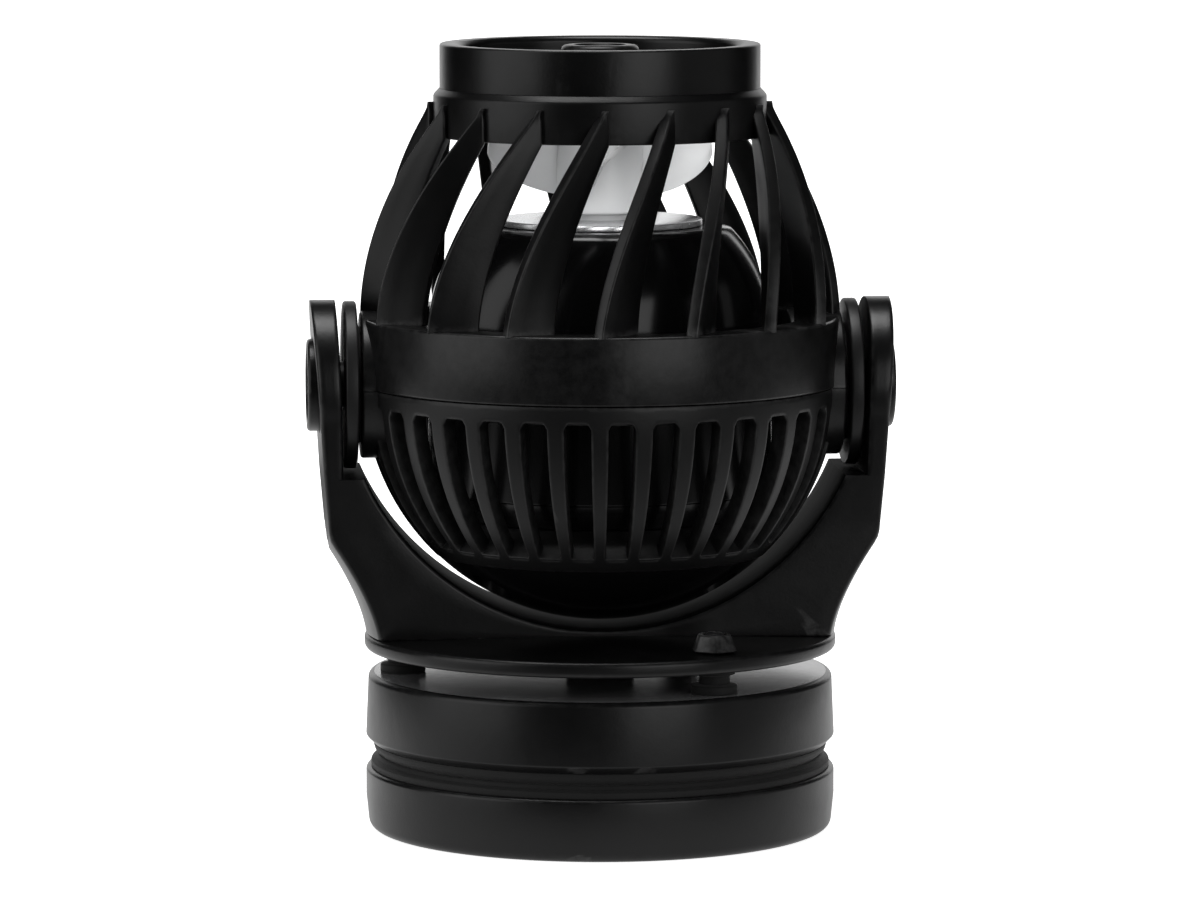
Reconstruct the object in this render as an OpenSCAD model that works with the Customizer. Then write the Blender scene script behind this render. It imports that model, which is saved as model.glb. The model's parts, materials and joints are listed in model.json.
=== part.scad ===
/* [Magnet mount] */
// Outer diameter of the two magnet housings
disc_d = 60.3; // [60:0.1:62]
// Height of the dry-side magnet housing
dry_h = 8; // [8:0.5:12]
// Thickness of the rubber pad on the dry side
dry_pad_t = 1.7; // [1.2:0.1:2.5]
// Thickness of the rubber pad on the wet side
wet_pad_t = 1.4; // [1.2:0.1:2.5]
// Height of the wet-side magnet housing
wet_h = 9; // [8.8:0.1:12]
// Diameter of each disc magnet
magnet_d = 20; // [16:0.5:20]

/* [Yoke] */
// Free height between the wet housing and the foot plate, bridged by the isolators
isolator_gap = 3.1; // [2.5:0.1:5]
// Diameter of the foot plate
plate_d = 60.6; // [59.8:0.1:61]
// Thickness of the foot plate
plate_t = 2.3; // [2:0.1:3.5]
// Radius of the rounded top of each arm, about the pivot
arm_r = 10.9; // [10.3:0.1:11]
// Half depth of the web where it stands on the foot plate
web_half = 8.8; // [7:0.1:9]

/* [Pump head] */
// Outer radius of the slotted rear bowl
bowl_r = 30.4; // [30.2:0.1:30.5]
// Number of slots round the rear bowl
slot_count = 34; // [24:2:36]
// Number of guide vanes in the front cage
vane_count = 16; // [10:1:18]
// Sweep of each guide vane round the axis from foot to tip, in degrees
vane_sweep = 24; // [12:0.5:26]
// Thickness of each guide vane
vane_t = 1.6; // [1.2:0.1:1.8]
// Outer diameter of the outlet collar
nozzle_d = 41; // [40.6:0.1:41.4]

/* [Rotor] */
// Number of impeller blades
blade_count = 4; // [3:1:6]
// Outer radius of the impeller blades
blade_r = 14.4; // [12:0.1:15]
// Radius of the fixed ceramic shaft
shaft_r = 1.5; // [1.2:0.1:1.8]

/* [Fits] */
// Radial running clearance round the shaft and the pivot pins
run_c = 0.05; // [0.03:0.01:0.08]

/* [Hidden] */
$fn = 96;

disc_r = disc_d / 2;
// heights of the stack, from the bottom of the dry side up
dry_pad_z = dry_h;
wet_pad_z = dry_h + dry_pad_t + 0.05;
wet_z = wet_pad_z + wet_pad_t + 0.05;
wet_top = wet_z + wet_h;
plate_z = wet_top + isolator_gap;
plate_top = plate_z + plate_t;
u_bottom = plate_top + 0.3;
pivot_z = u_bottom + 31.4;
hip_z = pivot_z - 20.3;
plate_r = plate_d / 2;
magnet_ring_r = 14.5;
iso_ring_r = 25.4;
iso_angles = [180, -60, 60];
// head heights, measured from the pivot
ring_top = 8.65;
ring_r = 30.6;
ring_in = 25.75;
skirt_z0 = 31.8;
skirt_z1 = 37.85;
vane_tip = 36.1;
nozzle_top = 43.55;
nozzle_r = nozzle_d / 2;
skirt_r = nozzle_r + 0.8;
seat_z = -16.8;
pin_r = 3;
boss_x = 30.8;
boss_r = 9.4;
gland_z = -6.5;
black = [0.07, 0.07, 0.075];

function arc(cx, cy, r, a0, a1, n) = [for (i = [0:n]) let (a = a0 + (a1 - a0) * i / n) [cx + r * cos(a), cy + r * sin(a)]];
function planar(r, phi) = [r * sin(phi), -r * cos(phi)];

module head() { translate([0, 0, pivot_z]) children(); }
module both_sides() { for (s = [-1, 1]) rotate([0, 90 * s, 0]) children(); }
module tube(ro, ri, z0, z1) {
  translate([0, 0, z0]) difference() {
    cylinder(r = ro, h = z1 - z0);
    translate([0, 0, -1]) cylinder(r = ri, h = z1 - z0 + 2);
  }
}

// ---------- magnet mount ----------
module dry_housing() {
  color(black) difference() {
    rotate_extrude() polygon(concat([[0, 0]],
      arc(disc_r - 1.55, 1.2, 1.2, -90, 0, 6),
      [[disc_r, dry_h - 0.8]],
      arc(disc_r - 0.6, dry_h - 0.6, 0.6, 0, 90, 4),
      [[0, dry_h]]));
    translate([0, 0, 1.6]) cylinder(r = 27.6, h = dry_h);
  }
}
module dry_keeper() { color("silver") translate([0, 0, 1.7]) cylinder(r = 26.5, h = 1); }
module disc_magnets(z, h) {
  for (a = [45:90:315]) rotate([0, 0, a]) translate([magnet_ring_r, 0, z]) cylinder(d = magnet_d, h = h);
}
module dry_magnets() { color("gainsboro") disc_magnets(2.75, dry_h - 4.05); }
module dry_lid() { color(black) translate([0, 0, dry_h - 1.2]) cylinder(r = 27.5, h = 1.2); }
module dry_pad() {
  color([0.05, 0.05, 0.05]) rotate_extrude() polygon([[0, dry_pad_z], [disc_r - 0.65, dry_pad_z],
    [disc_r - 0.65, dry_pad_z + 0.5 * dry_pad_t], [disc_r - 1.3, dry_pad_z + 0.7 * dry_pad_t],
    [disc_r - 1.6, dry_pad_z + dry_pad_t], [0, dry_pad_z + dry_pad_t]]);
}
module wet_pad() {
  color([0.05, 0.05, 0.05]) rotate_extrude() polygon([[0, wet_pad_z], [disc_r - 1.7, wet_pad_z],
    [disc_r - 1.2, wet_pad_z + 0.35 * wet_pad_t], [disc_r - 1.0, wet_pad_z + 0.7 * wet_pad_t],
    [disc_r - 1.0, wet_pad_z + wet_pad_t], [0, wet_pad_z + wet_pad_t]]);
}
module wet_housing() {
  color(black) difference() {
    rotate_extrude() polygon(concat([[0, wet_z], [disc_r - 0.9, wet_z], [disc_r, wet_z + 0.9]],
      arc(disc_r - 0.35 - 0.7, wet_top - 0.7, 0.7, 0, 90, 5),
      [[0, wet_top]]));
    translate([0, 0, wet_z - 1]) cylinder(r = 27.6, h = wet_h - 1.5);
    iso_places() translate([0, 0, wet_top - 1.9]) cylinder(r = 1.5, h = 3);
  }
}
module wet_keeper() { color("silver") translate([0, 0, wet_z + wet_h - 3.6]) cylinder(r = 26.5, h = 1); }
module wet_magnets() { color("gainsboro") disc_magnets(wet_z + 1.1, wet_h - 4.75); }
module wet_lid() { color(black) translate([0, 0, wet_z]) cylinder(r = 27.5, h = 1); }

module iso_places() { for (a = iso_angles) rotate([0, 0, a]) translate([iso_ring_r, 0, 0]) children(); }

module centre_post() {
  color([0.06, 0.06, 0.06]) rotate_extrude() polygon([[0, wet_top], [4.7, wet_top], [4.35, wet_top + 0.5],
    [4.35, plate_z - 0.5], [4.7, plate_z], [0, plate_z]]);
}
module isolators() {
  g = isolator_gap;
  color([0.06, 0.06, 0.06]) iso_places() translate([0, 0, wet_top]) rotate_extrude() polygon([
    [1.5, 0], [2.9, 0], [2.9, 0.36 * g], [1.95, 0.42 * g], [1.95, 0.76 * g], [2.6, 0.8 * g], [2.6, g], [1.5, g]]);
}
module isolator_studs() {
  color("dimgray") for (i = [0:2]) rotate([0, 0, iso_angles[i]]) translate([iso_ring_r, 0, wet_top - 1.8])
    cylinder(r = 1.45, h = (i == 0 ? plate_top + 4 : plate_top + 2.3) - wet_top + 1.8);
}
module isolator_nuts() {
  color([0.1, 0.1, 0.1]) for (i = [1:2]) rotate([0, 0, iso_angles[i]]) translate([iso_ring_r, 0, plate_top]) difference() {
    rotate([0, 0, -30]) cylinder(r1 = 3.05, r2 = 2.2, h = 2.1, $fn = 6);
    translate([0, 0, -1]) cylinder(r = 1.5, h = 4);
  }
}

// ---------- yoke ----------
function flare(z) = plate_r - 0.2 + 5.15 * pow(max(0, (z - hip_z + 12) / 11.9), 1.5);
module yoke() {
  p = pivot_z;
  color(black) difference() {
    union() {
      rotate_extrude() polygon(concat([[0, plate_z]],
        arc(plate_r - 0.8, plate_z + 0.8, 0.8, -90, 0, 5),
        arc(plate_r - 0.8, plate_top - 1.1, 0.8, 0, 85, 5),
        [[10, plate_top + 0.15], [0, plate_top + 0.15]]));
      intersection() {
        rotate([90, 0, 0]) linear_extrude(height = 30, center = true) polygon([
          [-42, plate_top - 0.9], [42, plate_top - 0.9], [42, hip_z], [35, hip_z],
          [35.75, p - 11.3], [36.4, p], [37.3, p + 12],
          [-37.3, p + 12], [-36.4, p], [-35.75, p - 11.3], [-35, hip_z], [-42, hip_z]]);
        union() {
          rotate([90, 0, 90]) linear_extrude(height = 90, center = true) polygon([
            [-web_half, plate_top - 1.2], [web_half, plate_top - 1.2], [web_half + 0.2, p - 17.3], [arm_r - 0.3, p],
            [0, p + 3], [-arm_r + 0.3, p], [-web_half - 0.2, p - 17.3]]);
          translate([-45, 0, p]) rotate([0, 90, 0]) cylinder(r = arm_r, h = 90);
        }
        rotate_extrude() polygon(concat([[0, plate_top - 1.5], [flare(0), plate_top - 1.5]],
          [for (i = [0:12]) let (z = hip_z - 11.7 + i) [flare(z), z]],
          [[37.2, hip_z + 3.3], [40, hip_z + 8.3], [46, hip_z + 16.3], [46, p + 14], [0, p + 14]]));
      }
    }
    // inside of the U: a round bottom, then a ledge and straight arms
    intersection() {
      translate([0, 20, p + 2.45]) rotate([90, 0, 0]) cylinder(r = 33.4, h = 40, $fn = 144);
      translate([-40, -20, 0]) cube([80, 40, p - 11.1]);
    }
    translate([0, 20, p]) rotate([90, 0, 0]) linear_extrude(height = 40) polygon([
      [-33.3, -11.11], [33.3, -11.11], [33.5, 0], [34.1, 13], [-34.1, 13], [-33.5, 0]]);
    // pivot holes and the recesses for the caps
    translate([0, 0, p]) both_sides() {
      translate([0, 0, 30]) cylinder(r = pin_r + run_c, h = 12);
      translate([0, 0, 35.45]) cylinder(r = 6.2, h = 4);
    }
    // holes for the isolator studs
    for (i = [0:2]) rotate([0, 0, iso_angles[i]]) translate([iso_ring_r, 0, plate_z - 1])
      cylinder(r = 1.6, h = i == 0 ? plate_t + 5.2 : plate_t + 3);
  }
}

// ---------- front cage ----------
module cage_ring() {
  color(black) head() difference() {
    union() {
      rotate_extrude() polygon(concat([[ring_in, 0.05], [ring_r - 0.25, 0.05], [ring_r, 0.3]],
        arc(ring_r - 0.5, ring_top - 0.5, 0.5, 0, 90, 4),
        [[ring_in + 0.3, ring_top], [ring_in, ring_top - 0.3]]));
      difference() {
        tube(28, 26.2, -2.6, 0.5);
        translate([-40, -11.5, -5]) cube([80, 23, 5.05]);
        translate([-7.5, 15, -5]) cube([15, 20, 5.05]);
      }
      intersection() {
        both_sides() translate([0, 0, 24]) cylinder(r = boss_r, h = boss_x - 24);
        translate([-40, -20, 0.05]) cube([80, 40, 20]);
      }
    }
    both_sides() translate([0, 0, 20]) cylinder(r = pin_r + 0.03, h = 20);
  }
}
function vt(z) = max(0, (z - ring_top) / (vane_tip - ring_top));
function vs(z) = min(1, max(0, (z - ring_top) / (skirt_z0 - ring_top)));
function v_in(z) = 26 - (26 - skirt_r + 0.15) * pow(vs(z), 1.53);
function v_out(z) = max(v_in(z) + 0.25, ring_r - 0.3 - (ring_r - skirt_r) * pow(vt(z), 1.87));
function v_phi(z) = vane_sweep * (0.28 * vt(z) + 0.72 * vt(z) * vt(z));
function v_dphi(z) = z < skirt_z0 ? 10 - 2.9 * pow(vs(z), 0.85) : v_phi(skirt_z0) + 7.1 - v_phi(z);
function v_section(z) = let (
    a = planar(v_out(z), v_phi(z)),
    b = planar(v_in(z), v_phi(z) + v_dphi(z)),
    d = (b - a) / norm(b - a),
    n = [-d[1], d[0]] * vane_t / 2)
  [[a[0] + n[0], a[1] + n[1], z], [b[0] + n[0], b[1] + n[1], z], [b[0] - n[0], b[1] - n[1], z], [a[0] - n[0], a[1] - n[1], z]];
module vane() {
  zs = concat([ring_top - 0.2], [for (i = [1:11]) ring_top + (skirt_z0 - ring_top) * i / 11],
    [for (i = [1:4]) skirt_z0 + (vane_tip - skirt_z0) * i / 4]);
  n = len(zs);
  pts = [for (z = zs) each v_section(z)];
  polyhedron(points = pts, faces = concat(
    [[3, 2, 1, 0]],
    [for (k = [0:n - 2], j = [0:3]) let (a = 4 * k + j, b = 4 * k + (j + 1) % 4) [a, b, b + 4]],
    [for (k = [0:n - 2], j = [0:3]) let (a = 4 * k + j, b = 4 * k + (j + 1) % 4) [a, b + 4, a + 4]],
    [[4 * n - 4, 4 * n - 3, 4 * n - 2, 4 * n - 1]]));
}
module cage_vanes() {
  color(black) head() for (k = [0:vane_count - 1]) rotate([0, 0, -5 + k * 360 / vane_count]) vane();
}
module cage_skirt() {
  color(black) head() rotate_extrude() polygon([[nozzle_r - 0.65, skirt_z0], [skirt_r - 0.3, skirt_z0], [skirt_r, skirt_z0 + 0.3],
    [skirt_r, skirt_z1 - 0.7], [nozzle_r + 0.15, skirt_z1], [nozzle_r - 0.65, skirt_z1]]);
}
module nozzle_ring() {
  ri = nozzle_r - 2.5;
  color(black) head() rotate_extrude() polygon(concat([[ri + 0.8, skirt_z0 + 0.7], [nozzle_r - 0.7, skirt_z0 + 0.7],
    [nozzle_r - 0.7, skirt_z1 + 0.05], [nozzle_r, skirt_z1 + 0.05]],
    arc(nozzle_r - 0.3, nozzle_top - 0.3, 0.3, 0, 90, 4),
    arc(ri + 0.9, nozzle_top - 0.9, 0.9, 90, 180, 6),
    [[ri, skirt_z0 + 1.5]]));
}
module bearing_spider() {
  ri = nozzle_r - 2.5;
  color(black) head() difference() {
    union() {
      tube(ri - 0.03, ri - 1.3, 38.4, 41.6);
      translate([0, 0, 36.95]) cylinder(r = 5, h = 5.8);
      translate([0, 0, 42.75]) cylinder(r1 = 5, r2 = 4.4, h = 0.6);
      for (a = [0:120:240]) rotate([0, 0, a + 30]) translate([0, -0.6, 38.4]) cube([ri - 0.6, 1.2, 3.2]);
    }
    translate([0, 0, 36]) cylinder(r = 3.02, h = 4.5);
  }
}
module front_bush() { color("ivory") head() tube(3, shaft_r + 0.02, 36.98, 40.45); }

// ---------- rear bowl ----------
module slot_cutters() {
  difference() {
    for (k = [0:slot_count - 1]) rotate([0, 0, -90 - 4.5 + (k + 0.5) * 360 / slot_count]) translate([0, 0, -20.15])
      linear_extrude(height = 17.95) polygon([[18, -1.26 * 34 / slot_count], [34, -1.83 * 34 / slot_count],
        [34, 1.83 * 34 / slot_count], [18, 1.26 * 34 / slot_count]]);
    rotate_extrude() polygon([[0, -30], [24.5, -30], [24.5, -21.3], [19.8, seat_z], [0, seat_z]]);
  }
}
module rear_bowl() {
  color(black) head() difference() {
    union() {
      difference() {
        union() {
          intersection() {
            sphere(r = bowl_r);
            translate([-40, -40, -21.9]) cube([80, 80, 21.85]);
          }
          intersection() {
            sphere(r = bowl_r - 0.1);
            translate([-40, -40, -40]) cube([80, 80, 19]);
          }
        }
        rotate_extrude() polygon(concat([[0, 1], [bowl_r - 2.2, 1]],
          [for (i = [0:12]) let (z = -18.2 * i / 12) [sqrt(pow(bowl_r - 2.2, 2) - z * z), z]],
          [[19.8, seat_z], [0, seat_z]]));
        slot_cutters();
      }
      intersection() {
        both_sides() translate([0, 0, 24]) cylinder(r = boss_r, h = boss_x - 24);
        translate([-40, -20, -20]) cube([80, 40, 19.95]);
      }
      translate([0, 30.9, gland_z]) rotate([90, 0, 0]) cylinder(r = 6.2, h = 5.9);
    }
    translate([0, 0, -25]) cylinder(r = 13.8, h = 20);
    both_sides() translate([0, 0, 20]) cylinder(r = pin_r + 0.03, h = 20);
    translate([0, 33, gland_z]) rotate([90, 0, 0]) cylinder(r = 4.4, h = 12);
    screw_places() {
      translate([0, 0, -40]) cylinder(r = 2.7, h = 17.9);
      translate([0, 0, -30]) cylinder(r = 1.4, h = 16);
    }
  }
}
module screw_places() { for (a = [90, 210, 330]) rotate([0, 0, a]) translate([16.4, 0, 0]) children(); }
module case_screws() {
  color("silver") head() screw_places() difference() {
    union() {
      translate([0, 0, -23.4]) cylinder(r = 2.4, h = 1.25);
      translate([0, 0, -22.3]) cylinder(r = 1.2, h = 8);
    }
    for (a = [0, 90]) rotate([0, 0, a]) translate([-1.5, -0.3, -24]) cube([3, 0.6, 1.3]);
  }
}

// ---------- motor ----------
function dome(z) = 22 * sqrt(1 - pow((z - 7) / 20, 2));
module motor_base() {
  color(black) head() difference() {
    rotate_extrude() polygon(concat([[0, -24.95], [13, -24.95], [13.6, -24.3], [13.6, seat_z], [19.6, seat_z]],
      [for (i = [1:5]) let (z = seat_z + 3.3 * i / 5) [min(21.95, sqrt(25.8 * 25.8 - z * z)), z]],
      [[20.1, -13.5], [20.1, -11.8], [18.6, -11.8], [18.6, -13.5], [8.9, -13.5], [8.9, 18.4], [8, 18.4], [8, -16.9],
       [4.02, -16.9], [4.02, -19.6], [0, -19.6]]));
    screw_places() translate([0, 0, -20]) cylinder(r = 1.22, h = 6);
  }
}
module motor_pod() {
  color([0.03, 0.03, 0.035]) head() difference() {
    rotate_extrude() polygon(concat([[20.15, -13.45], [22, -13.45]],
      [for (i = [0:10]) let (z = 7 + 13.2 * i / 10) [dome(z), z]],
      [[16.1, 20.3], [8.95, 20.3], [8.95, 18.5]],
      [for (i = [0:8]) let (z = 18.5 - 11.5 * i / 8) [dome(z) - 1.85, z]]));
    translate([0, 24, gland_z]) rotate([90, 0, 0]) cylinder(r = 4.03, h = 6);
  }
}
module motor_cover() {
  color([0.55, 0.56, 0.58]) head() rotate_extrude() polygon([[4.2, 19], [8.8, 19], [8.8, 20.35], [12.9, 20.35], [13.1, 20.6],
    [13.1, 20.95], [12.9, 21.15], [4.2, 21.15]]);
}
module stator_core() {
  color("slategray") head() {
    difference() {
      union() {
        tube(19.6, 16.4, -8, 8);
        for (a = [0:60:300]) rotate([0, 0, a]) translate([9.4, -2, -8]) cube([8, 4, 16]);
      }
      translate([0, 0, -20]) cylinder(r = 9.2, h = 40);
    }
  }
}
module coils() {
  color("peru") head() for (a = [0:60:300]) rotate([0, 0, a]) difference() {
    translate([11.2, -3.4, -10]) cube([4.6, 6.8, 20]);
    translate([10, -2.05, -8.05]) cube([8, 4.1, 16.1]);
  }
}
module potting() {
  color([0.12, 0.12, 0.12]) head() rotate_extrude() polygon([[9.05, 10.6], [18.9, 10.6], [17.9, 14.5], [9.05, 14.5]]);
}
module rear_bush() { color("ivory") head() tube(4, shaft_r + 0.02, -19.55, -16); }
module thrust_washer() { color("white") head() tube(3.2, shaft_r + 0.04, -15.95, -14.6); }
module shaft() { color("ghostwhite") head() translate([0, 0, -19.5]) cylinder(r = shaft_r, h = 59.7); }
module cable_gland() {
  color([0.05, 0.05, 0.05]) head() translate([0, 19.6, gland_z]) rotate([-90, 0, 0]) rotate_extrude() polygon([
    [0, 0], [4, 0], [4, 11.5], [3.9, 12.2], [3.5, 12.3], [3.5, 12.7], [3.7, 12.8], [3.6, 13.3], [3.2, 13.6],
    [2.6, 13.6], [2.6, 2], [0, 2]]);
}

// ---------- pivots ----------
module pivot_pins() {
  color("dimgray") head() both_sides() {
    translate([0, 0, 22.8]) cylinder(r = 5, h = 1.15);
    translate([0, 0, 23.5]) cylinder(r = pin_r, h = 35.75 - 23.5);
  }
}
module pivot_caps() {
  color(black) head() both_sides() difference() {
    union() {
      translate([0, 0, 35.75]) cylinder(r = 5.9, h = 1.5);
      translate([0, 0, 37.25]) cylinder(r1 = 5.9, r2 = 5.5, h = 0.35);
    }
    translate([0, 0, 37.15]) cylinder(r = 4.6, h = 2);
  }
}
module pivot_washers() { color([0.05, 0.05, 0.05]) head() both_sides() tube(7.5, pin_r + 0.1, boss_x + 0.05, 31.25); }
module pivot_spacers() { color([0.09, 0.09, 0.09]) head() both_sides() tube(10.7, pin_r + 0.1, 31.3, 32.95); }

// ---------- rotor ----------
blade_z1 = 36.2;
function b_low(r) = 30.7 - 6.7 * sqrt(1 - pow((r - 4) / (blade_r - 3.8), 2));
function b_ang(z) = (z - 29.8) * 4.8;
function b_point(r, z, s) = let (a = b_ang(z) + s * 0.7 / r * 57.3) [r * cos(a), r * sin(a), z];
module blade() {
  nr = 7; nz = 6;
  rs = [for (i = [0:nr]) 4.6 + (blade_r - 4.6) * sin(90 * i / nr)];
  side = [for (s = [-1, 1], i = [0:nr], j = [0:nz]) let (r = rs[i], z = b_low(r) + (blade_z1 - b_low(r)) * j / nz) b_point(r, z, s)];
  m = (nr + 1) * (nz + 1);
  w = nz + 1;
  polyhedron(points = side, faces = concat(
    [for (i = [0:nr - 1], j = [0:nz - 1]) let (a = i * w + j) [a, a + 1, a + w + 1]],
    [for (i = [0:nr - 1], j = [0:nz - 1]) let (a = i * w + j) [a, a + w + 1, a + w]],
    [for (i = [0:nr - 1], j = [0:nz - 1]) let (a = m + i * w + j) [a, a + w + 1, a + 1]],
    [for (i = [0:nr - 1], j = [0:nz - 1]) let (a = m + i * w + j) [a, a + w, a + w + 1]],
    [for (i = [0:nr - 1]) let (a = i * w, b = (i + 1) * w) [a, b, b + m]], [for (i = [0:nr - 1]) let (a = i * w, b = (i + 1) * w) [a, b + m, a + m]],
    [for (i = [0:nr - 1]) let (a = i * w + nz, b = (i + 1) * w + nz) [b, a, a + m]], [for (i = [0:nr - 1]) let (a = i * w + nz, b = (i + 1) * w + nz) [b, a + m, b + m]],
    [for (j = [0:nz - 1]) [j + 1, j, j + m]], [for (j = [0:nz - 1]) [j + 1, j + m, j + 1 + m]],
    [for (j = [0:nz - 1]) let (a = nr * w + j) [a, a + 1, a + 1 + m]], [for (j = [0:nz - 1]) let (a = nr * w + j) [a, a + 1 + m, a + m]]));
}
module impeller() {
  color([0.85, 0.86, 0.86]) head() difference() {
    union() {
      rotate_extrude() polygon(concat([[0, -13.3], [3.58, -13.3], [3.58, 21.8], [5.2, 22], [5.5, 22.4], [5.5, 34.8]],
        arc(4, 35, 1.5, 0, 90, 4), [[0, 36.5]]));
      for (k = [0:blade_count - 1]) rotate([0, 0, k * 360 / blade_count]) blade();
    }
    translate([0, 0, -20]) cylinder(r = shaft_r + run_c, h = 70);
  }
}
module rotor_magnet() { color([0.25, 0.25, 0.27]) head() tube(7.2, 3.62, -12.9, 12.9); }

dry_housing();
dry_keeper();
dry_magnets();
dry_lid();
dry_pad();
wet_pad();
wet_housing();
wet_keeper();
wet_magnets();
wet_lid();
centre_post();
isolators();
isolator_studs();
isolator_nuts();
yoke();
cage_ring();
cage_vanes();
cage_skirt();
nozzle_ring();
bearing_spider();
front_bush();
rear_bowl();
case_screws();
motor_base();
motor_pod();
motor_cover();
stator_core();
coils();
potting();
rear_bush();
thrust_washer();
shaft();
cable_gland();
pivot_pins();
pivot_caps();
pivot_spacers();
pivot_washers();
impeller();
rotor_magnet();
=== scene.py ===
import json
import math

import bmesh
import bpy
from mathutils import Matrix, Vector

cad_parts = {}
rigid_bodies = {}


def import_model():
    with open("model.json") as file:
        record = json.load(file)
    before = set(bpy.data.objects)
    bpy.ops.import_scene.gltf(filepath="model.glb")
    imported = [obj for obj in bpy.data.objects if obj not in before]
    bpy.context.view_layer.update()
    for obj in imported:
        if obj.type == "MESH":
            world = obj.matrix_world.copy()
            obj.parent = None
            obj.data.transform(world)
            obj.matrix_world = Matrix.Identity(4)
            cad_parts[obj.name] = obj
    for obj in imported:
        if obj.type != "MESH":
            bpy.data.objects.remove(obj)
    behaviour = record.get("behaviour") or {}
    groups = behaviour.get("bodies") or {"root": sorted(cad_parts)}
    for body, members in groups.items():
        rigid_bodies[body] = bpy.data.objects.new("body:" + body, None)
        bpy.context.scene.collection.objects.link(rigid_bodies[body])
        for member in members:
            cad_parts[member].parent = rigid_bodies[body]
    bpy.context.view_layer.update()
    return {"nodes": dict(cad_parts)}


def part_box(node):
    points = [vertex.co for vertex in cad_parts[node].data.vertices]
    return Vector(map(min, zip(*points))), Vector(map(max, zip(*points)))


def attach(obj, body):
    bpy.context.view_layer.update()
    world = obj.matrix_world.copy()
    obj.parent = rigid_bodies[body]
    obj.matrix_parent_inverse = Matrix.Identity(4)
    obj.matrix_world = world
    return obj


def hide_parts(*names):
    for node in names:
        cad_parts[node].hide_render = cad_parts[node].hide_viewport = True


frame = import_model()
MM = 0.001


def mm_box(node):
    lo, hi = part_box(node)
    return [v / MM for v in lo], [v / MM for v in hi]


# Heights in millimetres, read from the frame
caps_lo, caps_hi = mm_box("pivot_caps")
P = (caps_lo[2] + caps_hi[2]) / 2  # tilt axis
dry_lo, dry_hi = mm_box("dry_housing")
wet_lo, wet_hi = mm_box("wet_housing")
post_lo, post_hi = mm_box("centre_post")
DISC = dry_hi[0]  # outer radius of the magnet housings
PLATE_Z = post_hi[2]  # underside of the foot plate
PLATE_T = 2.3
PLATE_TOP = PLATE_Z + PLATE_T
PLATE_R = 30.3
HIP = P - 20.3  # where the flared foot of the yoke meets its straight arms
BOSS_R = 9.4
U_R, U_C = 33.4, 2.45  # radius of the round bottom of the yoke, and its centre above the pivot
RING_TOP = 8.65
SKIRT0, SKIRT1 = 31.8, mm_box("cage_skirt")[1][2] - P
VANE_TIP = 36.1
NOZZLE_TOP = mm_box("nozzle_ring")[1][2] - P
NOZZLE_R = mm_box("nozzle_ring")[1][0]
SKIRT_R = NOZZLE_R + 0.8


# ------------------------------------------------------------------ materials
def clamp_node(nt, v, lo, hi):
    n = nt.nodes.new("ShaderNodeMapRange")
    n.inputs["From Min"].default_value = 0.0
    n.inputs["From Max"].default_value = 1.0
    n.inputs["To Min"].default_value = lo
    n.inputs["To Max"].default_value = hi
    nt.links.new(v, n.inputs["Value"])
    return n.outputs["Result"]


def base_material(name):
    m = bpy.data.materials.new(name)
    m.use_nodes = True
    nt = m.node_tree
    b = nt.nodes["Principled BSDF"]
    tc = nt.nodes.new("ShaderNodeTexCoord")
    return m, nt, b, tc.outputs["Object"]


def noise(nt, vec, scale, detail=3.0, rough=0.55, dist=0.0):
    n = nt.nodes.new("ShaderNodeTexNoise")
    n.inputs["Scale"].default_value = scale
    n.inputs["Detail"].default_value = detail
    n.inputs["Roughness"].default_value = rough
    n.inputs["Distortion"].default_value = dist
    nt.links.new(vec, n.inputs["Vector"])
    return n.outputs["Fac"]


def mapping(nt, vec, scale):
    n = nt.nodes.new("ShaderNodeMapping")
    n.inputs["Scale"].default_value = scale
    nt.links.new(vec, n.inputs["Vector"])
    return n.outputs["Vector"]


def math_node(nt, op, a, b):
    n = nt.nodes.new("ShaderNodeMath")
    n.operation = op
    for i, v in enumerate((a, b)):
        if isinstance(v, (int, float)):
            n.inputs[i].default_value = v
        else:
            nt.links.new(v, n.inputs[i])
    return n.outputs[0]


def ramp(nt, v, stops):
    n = nt.nodes.new("ShaderNodeValToRGB")
    el = n.color_ramp.elements
    while len(el) > len(stops):
        el.remove(el[-1])
    while len(el) < len(stops):
        el.new(1.0)
    for e, (pos, col) in zip(el, stops):
        e.position = pos
        e.color = (*col, 1.0)
    nt.links.new(v, n.inputs["Fac"])
    return n.outputs["Color"]


def bump(nt, b, height, strength, dist):
    n = nt.nodes.new("ShaderNodeBump")
    n.inputs["Strength"].default_value = strength
    n.inputs["Distance"].default_value = dist
    nt.links.new(height, n.inputs["Height"])
    nt.links.new(n.outputs["Normal"], b.inputs["Normal"])
    return n


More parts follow.
